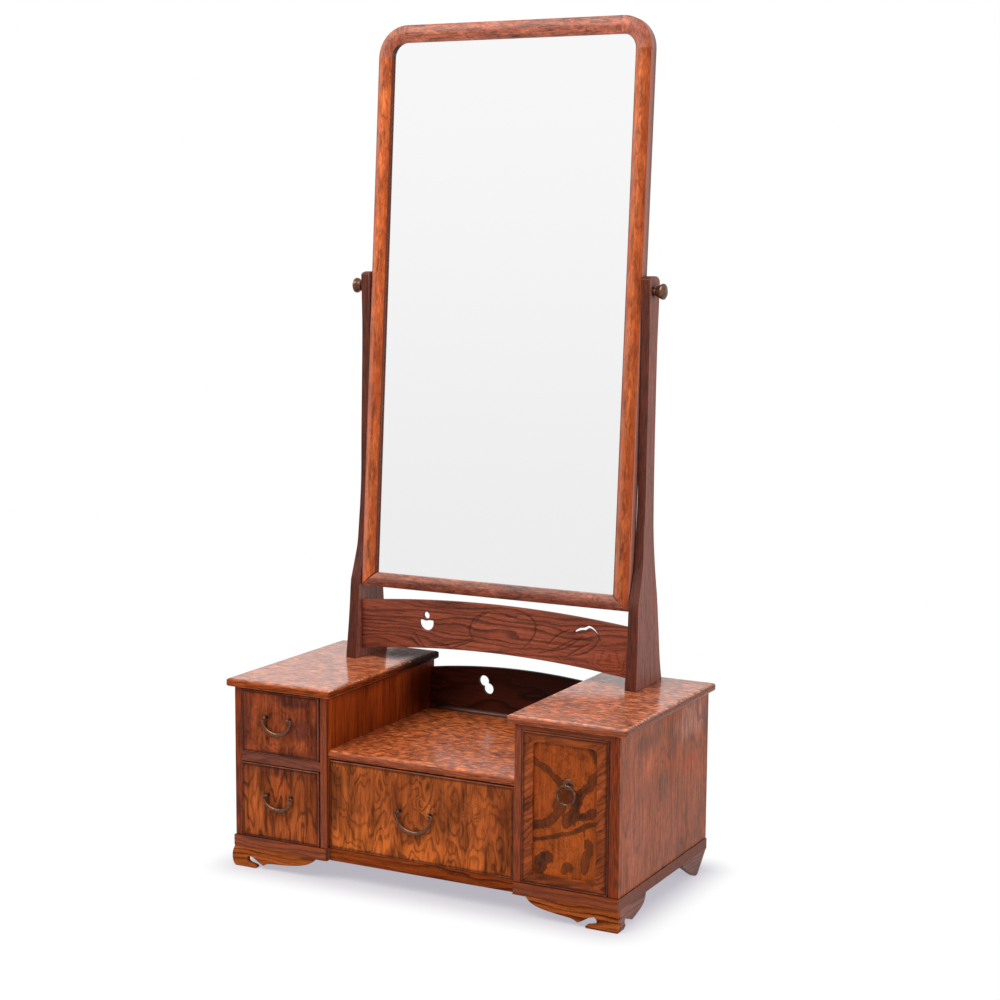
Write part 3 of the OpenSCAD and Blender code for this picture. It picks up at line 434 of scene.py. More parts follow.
def wood(node, look, number, marks=""):
    """Lacquered wood of one board. Marks name an attribute: carved lines, or a cloud of dark bands."""
    sheet = Sheet(f"{node} wood")
    place = sheet.place()
    start = sheet.vector("ADD", place, shift_of(number))
    if look.tilt:
        settings = {"rotation_type": "Y_AXIS"}
        start = sheet.node("ShaderNodeVectorRotate", settings, {"Vector": start, "Angle": look.tilt})
    drawn = sheet.vector("MULTIPLY", start, stretched(look.grain, look.stretch, look.flat))
    threads = sheet.vector("MULTIPLY", start, stretched(look.grain, FIBRE_STRETCH))
    loose = swayed(sheet, place, start, KNOT_SWAY, 0.016, 4.0)
    fibre = sheet.noise(threads, FIBRES, 2.0, 0.6)
    streak = sheet.noise(threads, STREAKS, 2.0, 0.55)
    patch = sheet.noise(sheet.vector("ADD", drawn, (3.1, 1.7, 2.3)), 0.5 / look.feature, 1.0).step(0.3, 0.7)
    facing = sheet.node("ShaderNodeTexCoord", output="Normal")
    plank = Plank(node, look, sheet, place, start, loose, fibre, streak, patch, facing)
    mark = sheet.node("ShaderNodeAttribute", {"attribute_name": marks}, output="Fac") if marks else None
    bands = None
    if marks == "cloud":
        bands = mark + (sheet.noise(start, BAND_EDGE, 4.0, 0.6) - 0.5) * 1.7 + (streak - 0.5) * 0.7
    saw = ring_saw(plank, drawn, bands)
    line = saw.step(1 - look.vein_share, 1 - (look.soft + 0.08) * look.vein_share)
    line = line - saw.step(1 - look.soft * look.vein_share, 1.0)

    # Ground, stains, veins and light flecks
    field = sheet.noise(drawn, 0.33 / look.feature, 2.0).step(0.32, 0.68)
    colour = sheet.blend((field * 0.6 + fibre * 0.3 + saw * 0.2 - 0.05).clamped(), look.ground, look.light)
    colour = stains_and_shade(sheet, loose, colour, look.spots)
    colour = sheet.blend((line * look.strength * (0.6 + patch * 0.55)).clamped(), colour, look.vein)
    spread = sheet.vector("MULTIPLY", start, stretched(look.grain, FLECK_STRETCH, look.flat))
    mottle = sheet.noise(spread, look.speck, 2.0, 0.6).step(0.3, 0.7)
    if look.fleck > 0.5:
        colour = sheet.blend(mottle.step(0.55, 1.0) * 0.6 * look.fleck, colour, look.light)

    # Light and dark
    drift = sheet.noise(drawn, 0.8 / look.feature, 2.0).step(0.25, 0.75)
    tone = 1 + look.contrast * ((streak - 0.5) * 1.1 + (fibre - 0.5) * 1.1) + (drift - 0.5) * look.curl
    tone = tone + (mottle - 0.5) * look.fleck
    # Painted shade: the mirror's frame darkens towards its foot
    if look.fade:
        tone = tone * (1 - look.fade * (1 - sheet.part(place, "z").step(FADED, UNFADED)))
    pores = fibre.step(0.6, 0.72) * 0.4
    colour = sheet.blend(1.0, colour, sheet.grey(tone * look.shade * (1 - pores)), "MULTIPLY")

    # Faces that differ from the wide ones, dirt and wear, and marks
    for wanted, layer in ((look.edge, narrow_faces), (look.flank, flanks), (look.walls, frame_walls),
                          (look.rim, rim)):
        if wanted:
            colour = layer(plank, colour)
    if marks == "carved":
        colour = sheet.blend((mark * 0.62).clamped(), colour, scaled(look.vein, 0.3))
    if marks == "cloud":
        colour = dark_bands(plank, bands, colour)

    # Relief and lacquer
    height = fibre * 0.4 + line * 0.6 - pores + mottle * look.ripple
    normal = sheet.node("ShaderNodeBump", {}, {"Strength": 0.4, "Distance": 0.0004, "Height": height})
    return sheet.surface({
        "Base Color": colour,
        "Roughness": (look.rough + streak * 0.12 + patch * 0.06 - line * 0.03).clamped(),
        "Specular IOR Level": look.gloss,
        "Coat Weight": shine(plank) if look.coat else 0.0,
        "Coat Roughness": 0.14,
        "Normal": normal,
    })


# Points that are closer than the first are one, and so are faces that turn less than the second
WELD, FLUSH = 2e-6, math.radians(0.3)
# Edges that turn more than the first are rounded, and more than the second stay sharp to the eye
ROUNDED, SHARP = math.radians(34), math.radians(40)
# A face points along a member's end, or to the front, where its normal's share that way is above these
END_ON, FRONT_ON = 0.99995, 0.9999


def worn_copy(node, width, shortest=0.0, ends=()):
    """A CAD node's mesh with its edges rounded, as a plane and years of hands leave them.

    Edges shorter than the shortest stay sharp, and so do those of the flat end faces that point along one
    of the ends, where one member meets the next, and those where two members touch.
    """
    work = bmesh.new()
    work.from_mesh(frame["nodes"][node].data)
    bmesh.ops.remove_doubles(work, verts=work.verts, dist=WELD)
    bmesh.ops.dissolve_limit(work, angle_limit=FLUSH, verts=work.verts, edges=work.edges)
    work.normal_update()
    shared = {v for e in work.edges if len(e.link_faces) != 2 for v in e.verts}
    edges = [e for e in work.edges if not shared.intersection(e.verts) and e.is_convex
             and e.calc_face_angle() > ROUNDED and e.calc_length() > shortest
             and not any(abs(f.normal.dot(end)) > END_ON for f in e.link_faces for end in ends)]
    bmesh.ops.bevel(work, geom=edges, offset=width, segments=3, profile=0.5, affect="EDGES",
                    clamp_overlap=False)
    work.normal_update()
    return work


def as_piece(name, node, work, material):
    """The bmesh as an object that rides on the node's body and stands for it."""
    work.verts.index_update()
    mesh = bpy.data.meshes.new(name)
    mesh.from_pydata([v.co[:] for v in work.verts], [], [[v.index for v in f.verts] for f in work.faces])
    work.free()
    mesh.validate()
    piece = bpy.data.objects.new(name, mesh)
    bpy.context.scene.collection.objects.link(piece)
    mesh.materials.append(material)
    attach(piece, BODY_OF[node])
    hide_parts(node)
    return piece


def finish_node(node, material):
    """The material on a CAD node whose own shape stays."""
    materials = frame["nodes"][node].data.materials
    materials.clear()
    materials.append(material)


def shade(piece):
    """Keeps flat faces flat to the eye beside rounded edges."""
    piece.data.shade_smooth()
    piece.data.set_sharp_from_angle(angle=SHARP)
    flat = piece.modifiers.new("flat faces", "WEIGHTED_NORMAL")
    flat.weight = 65
    flat.keep_sharp = True


def board(node, look, number, width, shortest=0.0, ends=()):
    """One worn wooden piece in place of a CAD node. Its number tells where in the wood it is cut."""
    work = worn_copy(node, width, shortest, ends)
    shade(as_piece(f"{node}_board", node, work, wood(node, look, number)))


def boards(looks, first, width, shortest=0.0):
    """Worn wooden pieces in place of CAD nodes, numbered from the first on."""
    for number, (node, look) in enumerate(looks.items(), first):
        board(node, look, number, width, shortest)


# Sizes and colours that a user would change


class DressingColours(bpy.types.PropertyGroup):
    """Colours of the finishes."""

    front: FloatVectorProperty(name="Drawer fronts", description="Ground colour of the drawer fronts",
                               subtype="COLOR", default=paint(148, 72, 30))
    front_vein: FloatVectorProperty(name="Front veins", description="Dark veins of the drawer fronts",
                                    subtype="COLOR", default=paint(84, 36, 14))
    case: FloatVectorProperty(name="Case", description="Ground colour of the side boards and bands",
                              subtype="COLOR", default=paint(126, 53, 14))
    side: FloatVectorProperty(name="Outer side", description="Ground colour of the outer side boards",
                              subtype="COLOR", default=paint(143, 74, 42))
    top: FloatVectorProperty(name="Tops", description="Ground colour of the three tops",
                             subtype="COLOR", default=paint(160, 80, 40))
    mirror_frame: FloatVectorProperty(name="Mirror frame", description="Ground colour of the mirror's stiles",
                                      subtype="COLOR", default=paint(196, 90, 38))
    rail: FloatVectorProperty(name="Carved rail", description="Ground colour of the carved rail",
                              subtype="COLOR", default=paint(128, 62, 42))
    # Nearly black: the board's dark wood, darkened further as painted shade of the well under the mirror
    gallery: FloatVectorProperty(name="Gallery", description="Ground colour of the gallery board",
                                 subtype="COLOR", default=paint(46, 16, 10))
    bare: FloatVectorProperty(name="Bare wood", description="Colour of the unlacquered drawer boxes",
                              subtype="COLOR", default=paint(190, 150, 108))
    bronze: FloatVectorProperty(name="Bronze", description="Colour of the pulls and knobs",
                                subtype="COLOR", default=paint(108, 74, 56))


class DressingSizes(bpy.types.PropertyGroup):
    """Sizes of the wear and the carving."""

    wear: FloatProperty(name="Edge wear", description="Rounding of the boards' edges",
                        default=0.0008, unit="LENGTH")
    front_wear: FloatProperty(name="Front edge wear", description="Rounding of the drawer fronts' edges",
                              default=0.0011, unit="LENGTH")
    cut_depth: FloatProperty(name="Carving depth", description="Depth of the rail's incised lines",
                             default=0.0013, unit="LENGTH")
    cut_width: FloatProperty(name="Carving width", description="Half width of the rail's incised lines",
                             default=0.0011, unit="LENGTH")


class DressingStudio(bpy.types.PropertyGroup):
    """Light of the studio."""

    fill: FloatProperty(name="Fill", description="Strength of the light from all round", default=0.26)
    key: FloatProperty(name="Key", description="Power of the large light high at the front left",
                       default=105.0, unit="POWER")
    overhead: FloatProperty(name="Overhead", description="Power of the light over the object",
                            default=18.0, unit="POWER")
    side: FloatProperty(name="Side", description="Power of the low light at the right", default=30.0,
                        unit="POWER")


# Pieces


# Where the outer and inner side boards stand across, and the centre and side fronts back, in millimetres
OUTER_SIDE, INNER_SIDE, CENTRE_FRONT, SIDE_FRONT = 282, 141, -138, -144
# How far a spot or knot reaches into the wood, in millimetres
REACH = 60


def on_front(front, rows, reach=REACH):
    """Knots or spots on a front. A row has its place across and up, its radii, and what else one holds."""
    return tuple(((x, front, z), (wide, reach, high), *rest) for x, z, wide, high, *rest in rows)


# Where the colour changes on the outer sides: place back and up and radii in millimetres, tint, share
SIDE_SPOTS = tuple(
    ((side * OUTER_SIDE, y, z), (REACH, long, high), tint, share)
    for side in (-1, 1)
    for y, z, long, high, tint, share in (
        (-45, 195, 42, 26, paint(176, 92, 56), 0.75),
        (20, 186, 40, 18, paint(172, 82, 44), 0.8),
        (80, 166, 50, 20, paint(168, 80, 46), 0.8),
        (130, 148, 40, 22, paint(164, 82, 50), 0.7),
        (-60, 228, 55, 16, paint(96, 56, 42), 0.5),
        (-8, 156, 26, 34, paint(112, 74, 54), 0.45),
        (95, 224, 80, 34, paint(176, 120, 102), 0.8),
        (-100, 120, 30, 90, paint(168, 96, 72), 0.4),
    )
)
SIDE_EYES = tuple(((side * OUTER_SIDE, -8, 154), (REACH, 50, 62), 2.2) for side in (-1, 1))
# The same as painted light and shade beside the step, where the left inner side is seen over the centre top:
# painted shade under the left top and towards the rear, and painted light at the front
INNER_LIGHT_AND_SHADE = (
    ((-INNER_SIDE, 120, 215), (REACH, 90, 60), paint(52, 14, 4), 0.85),
    ((-INNER_SIDE, 0, 262), (REACH, 200, 26), paint(60, 20, 8), 0.7),
    ((-INNER_SIDE, -80, 205), (REACH, 70, 40), paint(146, 62, 18), 0.5),
)


class DRESSING_OT_case(bpy.types.Operator):
    """Side boards, backs, bands and feet of the chest"""

    bl_idname = "dressing.case"
    bl_label = "Case boards"

    def execute(self, context):
        colours = context.scene.dressing_colours
        wear = context.scene.dressing_sizes.wear
        ground = tuple(colours.case)
        upright_grain = Figure(ground, paint(66, 24, 8), paint(154, 72, 26), grain="z", feature=0.02, stretch=8,
                               rings=3.0, across="y", straight=90, warp=0.5, contrast=1.3, gloss=0.06,
                               rim=0.5, worn=0.2)
        flat_grain = upright_grain._replace(grain="x", across="z", straight=120, stretch=5, gloss=0.04)
        foot = flat_grain._replace(ground=paint(138, 64, 22), light=paint(170, 88, 38), rim=0.0)
        # The side brackets get a greyer copy of the feet's wood, a painted reflection
        flank = foot._replace(grain="y", ground=paint(118, 70, 56), light=paint(136, 86, 70), gloss=0.3)
        side = Figure(tuple(colours.side), paint(102, 56, 40), paint(160, 92, 66), grain="z", feature=0.04,
                      stretch=3.4, rings=5.6, across="y", straight=6, warp=0.3, vein_share=0.5, strength=0.6,
                      soft=0.45, ragged=0.05, gloss=0.17, contrast=1.5, curl=0.25, fleck=0.3, ripple=1.2,
                      rim=0.2, edge=paint(128, 50, 10), spots=SIDE_SPOTS, eyes=SIDE_EYES)
        inner = upright_grain._replace(ground=paint(140, 56, 16), light=paint(166, 74, 24), spots=INNER_LIGHT_AND_SHADE,
                                       strength=0.4, soft=0.5, edge=paint(134, 56, 14))
        looks = {
            "left_outer_side": side, "right_outer_side": side,
            "left_inner_side": inner, "right_inner_side": inner._replace(spots=()),
            "left_back": upright_grain, "right_back": upright_grain, "centre_back": flat_grain,
            "bottom_board": flat_grain,
            "left_divider": flat_grain._replace(ground=paint(104, 54, 38), light=paint(122, 66, 46), rim=0.95),
            # The case rail is darker, a painted shade under the top
            "door_stop": upright_grain, "case_rail": flat_grain._replace(shade=0.8),
            # The bands' faces to the sides carry a painted reflection
            "plinth_bands": flat_grain._replace(flank=paint(112, 76, 66)),
            "left_front_bracket": foot, "right_front_bracket": foot,
            "left_side_brackets": flank, "right_side_brackets": flank,
        }
        for number, (node, look) in enumerate(looks.items()):
            board(node, look, number, wear, ends=[UP] if "bracket" in node else ())
        return {"FINISHED"}


# Painted shade and a painted dark reflection at the rear right of the left top, beside the upright and the
# gallery: place and radii in millimetres, tint, share
LEFT_TOP_SHADE = (
    ((-133, 110, 260), (16, 130, 30), paint(34, 14, 8), 0.95),
    ((-168, 120, 262), (66, 86, 30), paint(44, 18, 12), 0.95),
)


class DRESSING_OT_tops(bpy.types.Operator):
    """The three rippled, glossy tops"""

    bl_idname = "dressing.tops"
    bl_label = "Tops"

    def execute(self, context):
        ground = tuple(context.scene.dressing_colours.top)
        wear = context.scene.dressing_sizes.wear
        # The tops' narrow faces to the sides get painted shade through dim
        ripple = Figure(ground, paint(84, 32, 16), paint(212, 124, 84), grain="x", feature=0.009, stretch=1.1,
                        rings=2.8, warp=0.9, vein_share=0.7, strength=0.6, soft=0.4, flat=2.6, fleck=0.85,
                        speck=200, ripple=5, curl=0.6, rough=0.26, gloss=0.22, coat=0.5,
                        edge=paint(158, 74, 34), dim=0.42)
        orange = ripple._replace(ground=paint(160, 73, 27), light=paint(208, 112, 58), coat=0.3, rough=0.32)
        # The left top carries painted shade at its rear right, and its coat is cut there
        misty = ripple._replace(spots=LEFT_TOP_SHADE, strength=0.4, fleck=0.6, curl=0.4, gloss=0.01, coat=0.92)
        boards({"left_top": misty, "right_top": ripple, "centre_top": orange}, 20, wear / 2)
        return {"FINISHED"}


# Figure of the fronts, in millimetres: rings round knots, and tinted places
CENTRE_EYES = on_front(CENTRE_FRONT, (
    (60, 127, 13, 15, 2.4), (84, 127, 13, 15, 2.4), (-2, 124, 12, 14, 1.6),
), reach=40)
CENTRE_SPOTS = on_front(CENTRE_FRONT, (
    (-90, 62, 70, 44, paint(200, 104, 40), 0.6), (30, 56, 120, 34, paint(198, 100, 38), 0.6),
    (-132, 120, 16, 50, paint(100, 46, 18), 0.6), (-40, 125, 16, 34, paint(104, 48, 20), 0.6),
    (32, 120, 12, 50, paint(106, 50, 22), 0.55), (128, 130, 24, 34, paint(96, 42, 18), 0.6),
    (-80, 118, 24, 30, paint(186, 94, 40), 0.4),
))
LOWER_SPOTS = on_front(SIDE_FRONT, (
    (-220, 142, 80, 14, paint(84, 40, 34), 0.55), (-255, 90, 30, 30, paint(186, 96, 44), 0.5),
    (-190, 70, 30, 40, paint(190, 98, 44), 0.5), (-224, 60, 60, 20, paint(180, 92, 44), 0.4),
))
UPPER_EYES = on_front(SIDE_FRONT, ((-220, 196, 50, 48, 3.2),))
UPPER_SPOTS = on_front(SIDE_FRONT, (
    (-276, 210, 22, 60, paint(84, 42, 32), 0.8), (-182, 204, 24, 22, paint(86, 42, 34), 0.75),
    (-196, 240, 40, 12, paint(82, 42, 38), 0.7), (-226, 186, 44, 22, paint(168, 82, 40), 0.6),
    (-180, 180, 20, 14, paint(162, 80, 40), 0.5), (-220, 164, 80, 8, paint(96, 48, 34), 0.6),
))
# The dark bands of the door's panel: half width, and marks across and up
CLOUDS = (
    (4, (166, 207), (178, 201), (190, 195), (200, 187), (209, 180)),
    (7, (213, 178), (213, 168), (208, 158), (203, 148)),
    (5, (203, 150), (198, 138), (190, 129), (176, 124), (166, 124)),
    (5, (216, 172), (228, 168), (238, 175), (248, 184), (255, 194)),
    (4, (257, 190), (258, 206), (254, 222), (250, 230)),
    (6, (228, 166), (228, 152), (222, 140), (216, 132)),
    (4, (222, 138), (236, 143), (248, 147), (262, 153)),
    (2.4, (166, 102), (184, 107), (203, 113), (222, 119), (236, 127), (248, 133), (262, 135)),
    (7, (178, 68), (180, 76), (188, 84)),
    (4.5, (240, 74), (243, 86), (247, 98), (246, 108)),
    (3.5, (212, 68), (216, 76), (221, 72)),
)
# A band fades out over this many of its half widths
BAND_FADE = 1.85


def band_shares(work, front):
    """How strongly the dark bands mark each point of the panel."""
    points = np.array([(v.co.x, v.co.z) for v in front])
    work.verts.index_update()
    shares = np.zeros(len(work.verts), np.float32)
    for width, *line in CLOUDS:
        gap = along_stroke(points, stroke(line))[0]
        for vert, share in zip(front, 1 - gap * 1000 / (BAND_FADE * width)):
            shares[vert.index] = max(shares[vert.index], share)
    return shares


class DRESSING_OT_fronts(bpy.types.Operator):
    """Drawer fronts and the door, with wild contour figure"""

    bl_idname = "dressing.fronts"
    bl_label = "Drawer fronts and door"

    def execute(self, context):
        colours = context.scene.dressing_colours
        wear = context.scene.dressing_sizes.front_wear
        ground, vein = tuple(colours.front), tuple(colours.front_vein)
        wild = Figure(ground, vein, paint(174, 90, 40), grain="z", feature=0.0145, stretch=2.8, rings=5.2,
                      across="z", straight=100, warp=0.5, vein_share=0.62, strength=0.62, soft=0.42, curl=0.8,
                      contrast=1.2, gloss=0.07, rim=0.7, worn=0.5, eyes=CENTRE_EYES, spots=CENTRE_SPOTS)
        flame = wild._replace(ground=paint(132, 60, 25), light=paint(158, 78, 34), vein=paint(60, 22, 10),
                              straight=44, rings=5.0, feature=0.0155, stretch=4.2, strength=0.7, eyes=(),
                              spots=LOWER_SPOTS)
        calm = wild._replace(ground=paint(124, 55, 27), light=paint(148, 70, 36), vein=paint(70, 30, 20),
                             feature=0.02, stretch=2.0, rings=2.6, straight=34, strength=0.34, fleck=0.4,
                             eyes=UPPER_EYES, spots=UPPER_SPOTS)
        boards({"upper_drawer_front": calm, "lower_drawer_front": flame, "centre_drawer_front": wild},
               30, wear, shortest=0.0012)
        ribbon = Figure(paint(130, 61, 28), paint(68, 32, 17), paint(158, 78, 38), grain="x", feature=0.013,
                        stretch=2.2, rings=2.4, across="z", straight=130, warp=0.9, vein_share=0.62,
                        strength=0.7, tilt=0.6, ragged=0.35, soft=0.35, curl=0.7, gloss=0.07, rim=0.7,
                        worn=0.6)
        calmer = ribbon._replace(tilt=0.12, straight=80, stretch=4, strength=0.5)
        boards({"door_stiles": ribbon, "door_rails": calmer}, 34, wear, shortest=0.003)
        panel = Figure(paint(144, 62, 20), paint(50, 25, 13), paint(170, 82, 28), grain="z", feature=0.026,
                       stretch=2.0, rings=1.4, vein_share=0.5, strength=0.45, soft=0.45, curl=0.5, gloss=0.09,
                       rim=0.9, worn=0.5)
        work, front = fine_front("door_panel", wear)
        marked_board("door_panel", work, panel, 36, "cloud", band_shares(work, front))
        return {"FINISHED"}


class DRESSING_OT_uprights(bpy.types.Operator):
    """Uprights, gallery board and its bead"""

    bl_idname = "dressing.uprights"
    bl_label = "Uprights and gallery"

    def execute(self, context):
        colours = context.scene.dressing_colours
        wear = context.scene.dressing_sizes.wear
        stand = Figure(paint(128, 76, 62), paint(84, 44, 34), paint(140, 86, 72), grain="z", feature=0.03,
                       stretch=8, rings=3.0, across="y", straight=60, warp=0.5, vein_share=0.5, strength=0.4,
                       gloss=0.26, contrast=1.4, fleck=0.25, ripple=1.0, edge=paint(88, 34, 12))
        # The gallery's dark ground is partly painted shade of the well under the mirror
        dark = Figure(tuple(colours.gallery), paint(24, 8, 4), paint(84, 36, 20), grain="x", feature=0.03,
                      stretch=3, rings=3.0, across="z", straight=40)
        bead = dark._replace(ground=paint(96, 52, 38), gloss=0.5, rough=0.25)
        boards({"left_upright": stand, "right_upright": stand, "gallery_board": dark, "gallery_bead": bead},
               40, wear)
        return {"FINISHED"}


def stroke(points, count=14):
    """Points on a smooth line through a few marks, by four marks at a time."""
    made = []
    for i in range(len(points) - 1):
        a, b = points[max(i - 1, 0)], points[i]
        c, d = points[i + 1], points[min(i + 2, len(points) - 1)]
        for k in range(count):
            t = k / count
            made.append([0.5 * (2 * b[j] + (c[j] - a[j]) * t + (2 * a[j] - 5 * b[j] + 4 * c[j] - d[j]) * t * t
                                + (3 * b[j] - a[j] - 3 * c[j] + d[j]) * t ** 3) for j in (0, 1)])
    made.append(list(points[-1]))
    return np.array(made) / 1000


# Pitch of the grid on a front face that holds marks, in metres
PITCH = 0.0013
# Places on the grid that are closer than this are one
HAIR = 1e-6


def fine_front(node, width):
    """A node's worn mesh with its front face cut into a fine grid, and that face's points."""
    low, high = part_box(node)
    work = worn_copy(node, width, 1.2 * PITCH)
    for axis in (2, 0):
        rest = [f for f in work.faces if f.normal.y < -FRONT_ON]
        normal = Vector((axis == 0, 0, axis == 2))
        for place in np.arange(low[axis] + PITCH, high[axis] - PITCH / 2, PITCH):
            spans = [(f, min(v.co[axis] for v in f.verts), max(v.co[axis] for v in f.verts)) for f in rest]
            hit = [f for f, first, last in spans if first < place - HAIR and last > place + HAIR]
            rest = [f for f, first, last in spans if first >= place - HAIR]
            if not hit:
                continue
            edges = {e for f in hit for e in f.edges}
            verts = {v for f in hit for v in f.verts}
            made = bmesh.ops.bisect_plane(work, geom=[*hit, *edges, *verts], dist=HAIR / 10,
                                          plane_co=normal * place, plane_no=normal)["geom"]
            rest += [f for f in made if isinstance(f, bmesh.types.BMFace)
                     and min(v.co[axis] for v in f.verts) >= place - HAIR]
        work.normal_update()
    return work, [v for v in work.verts if abs(v.co.y - low.y) < HAIR]


def along_stroke(points, line):
    """Each point's distance to a line, and how far along the line its nearest point is."""
    gap = np.linalg.norm(points[:, None, :] - line[None, :, :], axis=2)
    return gap.min(axis=1), gap.argmin(axis=1) / (len(line) - 1)


def marked_board(node, work, look, number, marks, shares):
    """A board whose wood reads how strongly each point is marked."""
    piece = as_piece(f"{node}_board", node, work, wood(node, look, number, marks))
    if len(piece.data.vertices) != len(shares):
        raise RuntimeError(f"{piece.name} lost points")
    marked = piece.data.attributes.new(marks, "FLOAT", "POINT")
    marked.data.foreach_set("value", shares)
    shade(piece)


# Incised reeds under a moon, a common ornament: marks in millimetres across from the rail's middle and up
# from its foot
REEDS = (
    [(-124, 31), (-116, 21), (-106, 9)], [(-128, 22), (-119, 14), (-111, 7)],
    [(-99, 14), (-75, 17), (-55, 22), (-29, 31)], [(-65, 13), (-46, 21), (-29, 28)],
    [(-96, 10), (-70, 12), (-48, 15)],
    [(-13, 69), (-28, 58), (-34, 41), (-26, 27)], [(-4, 71), (-17, 64), (-27, 52)],
    [(39, 73), (56, 72), (67, 63), (68, 49), (60, 36), (49, 25)],
    [(23, 70), (27, 67), (32, 68), (37, 67), (41, 71)],
    [(74, 21), (100, 30), (128, 45), (162, 46)], [(106, 19), (137, 26), (154, 35), (165, 49)],
    [(87, 34), (102, 49), (121, 59)], [(106, 29), (125, 39), (140, 51)], [(92, 25), (118, 33), (148, 40)],
    [(118, 22), (134, 33), (150, 42)],
)


class DRESSING_OT_rail(bpy.types.Operator):
    """Rail with incised line carving on its face"""

    bl_idname = "dressing.rail"
    bl_label = "Carved rail"

    def execute(self, context):
        sizes = context.scene.dressing_sizes
        ground = tuple(context.scene.dressing_colours.rail)
        look = Figure(ground, paint(70, 30, 20), paint(148, 76, 52), grain="x", feature=0.024, stretch=4.5,
                      rings=3.6, across="z", straight=130, warp=0.7, vein_share=0.6, strength=0.75, gloss=0.2,
                      contrast=1.4, curl=0.3, eyes=(((182, 60, 290), (40, 60, 24), 3.5),),
                      spots=(((185, 60, 292), (34, 60, 18), paint(170, 82, 46), 0.6),))
        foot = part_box("carved_rail")[0].z
        work, front = fine_front("carved_rail", sizes.wear)
        points = np.array([(v.co.x, v.co.z - foot) for v in front])
        depth = np.zeros(len(front))
        for line in REEDS:
            gap, along = along_stroke(points, stroke(line))
            width = sizes.cut_width * (0.5 + 0.6 * np.sin(np.pi * np.clip(along, 0.04, 0.96)))
            depth = np.maximum(depth, np.exp(-(gap / width) ** 2))
        shares = np.zeros(len(work.verts), np.float32)
        work.verts.index_update()
        for vert, share in zip(front, depth):
            if all(f.normal.y < -FRONT_ON for f in vert.link_faces):
                vert.co.y += sizes.cut_depth * share
                shares[vert.index] = share
        marked_board("carved_rail", work, look, 50, "carved", shares)
        return {"FINISHED"}


class DRESSING_OT_mirror_frame(bpy.types.Operator):
    """Crowned mirror frame and the glass"""

    bl_idname = "dressing.mirror_frame"
    bl_label = "Mirror frame and glass"

    def execute(self, context):
        wear = context.scene.dressing_sizes.wear
        ground = tuple(context.scene.dressing_colours.mirror_frame)
        # Painted light on the frame: a painted reflection on the outer walls, painted shade on the inner walls,
        # a painted highlight on the face to the left and painted shade to its right
        walls = (paint(178, 112, 95), paint(98, 42, 18), paint(200, 124, 98), paint(158, 64, 20))
        flame = Figure(ground, paint(140, 50, 16), paint(222, 122, 66), grain="z", feature=0.0085, stretch=3.4,
                       rings=3.4, warp=0.9, vein_share=0.5, strength=0.62, soft=0.45, rough=0.32, gloss=0.2,
                       contrast=1.6, curl=0.6, fleck=0.35, ripple=1.2, fade=0.28, walls=walls)
        mauve = flame._replace(ground=paint(148, 76, 52), light=paint(184, 104, 76), vein=paint(100, 46, 32),
                               grain="x", feature=0.006, stretch=2.6, strength=0.6, gloss=0.36)
        up, across = MIRROR_UP, Vector((1, 0, 0))
        # The corners' inner walls in darker painted shade
        dim_walls = (walls[0], paint(44, 20, 12), *walls[2:])
        looks = {"mirror_left_stile": (flame._replace(shade=1.02), [up]),
                 "mirror_right_stile": (flame._replace(shade=0.84, crease=0.0), [up]),
                 "mirror_top_rail": (mauve._replace(walls=()), [across]),
                 "mirror_corners": (mauve._replace(grain="z", walls=dim_walls, crease=0.3), [up, across]),
                 "mirror_bottom_rail": (mauve._replace(walls=(), shade=0.92), [across])}
        for number, (node, (look, ends)) in enumerate(looks.items(), 60):
            board(node, look, number, 2 * wear, ends=ends)
        finish_node("mirror_glass", self.glass())
        return {"FINISHED"}

    def glass(self):
        """Old silvered glass, a little hazy, and painted darker towards its foot as painted shade in its
        reflection.
        """
        sheet = Sheet("silvered glass")
        height = sheet.part(sheet.place(), "z").step(0.3, 1.15)
        haze = sheet.noise(sheet.place(), 6.0, 3.0)
        return sheet.surface({
            "Base Color": sheet.blend(height, paint(236, 236, 236), paint(247, 247, 247)),
            "Metallic": 1.0,
            "Roughness": haze * 0.02 + 0.005,
        })


class DRESSING_OT_bare_wood(bpy.types.Operator):
    """Unlacquered drawer boxes and the mirror's backboard"""

    bl_idname = "dressing.bare_wood"
    bl_label = "Bare wood"

    def execute(self, context):
        wear = context.scene.dressing_sizes.wear
        ground = tuple(context.scene.dressing_colours.bare)
        plain = Figure(ground, paint(150, 110, 74), paint(206, 170, 128), grain="y", feature=0.04, stretch=8,
                       rings=3.0, across="x", straight=60, warp=0.4, vein_share=0.6, strength=0.5, rough=0.6,
                       gloss=0.3, contrast=0.5)
        grains = {"sides": "y", "back": "x", "bottom": "y"}
        boards({f"{bay}_drawer_{piece}": plain._replace(grain=grain) for bay in ("upper", "lower", "centre")
                for piece, grain in grains.items()}, 70, wear)
        board("mirror_backboard", plain._replace(grain="z"), 80, wear)
        return {"FINISHED"}


# Round sides of a casting, and the steps along a bail and round a ring
SIDES, BAIL_STEPS, RING_STEPS = 16, 48, 64


def turns(count):
    """Angles that go once round in equal steps."""
    return np.linspace(0, 2 * math.pi, count + 1)[:-1]


def casting(node, rings, metal, closed=False):
    """A casting in place of a CAD node: a skin over rings of points, closed on itself or with two ends."""
    work = bmesh.new()
    rows = [[work.verts.new(point) for point in ring] for ring in rings]
    for first, second in zip(rows, rows[1:] + rows[:1] if closed else rows[1:]):
        for k in range(SIDES):
            after = (k + 1) % SIDES
            work.faces.new((first[k], first[after], second[after], second[k]))
    if not closed:
        work.faces.new(rows[0][::-1])
        work.faces.new(rows[-1])
    bmesh.ops.recalc_face_normals(work, faces=work.faces)
    as_piece(f"{node}_casting", node, work, metal).data.shade_smooth()


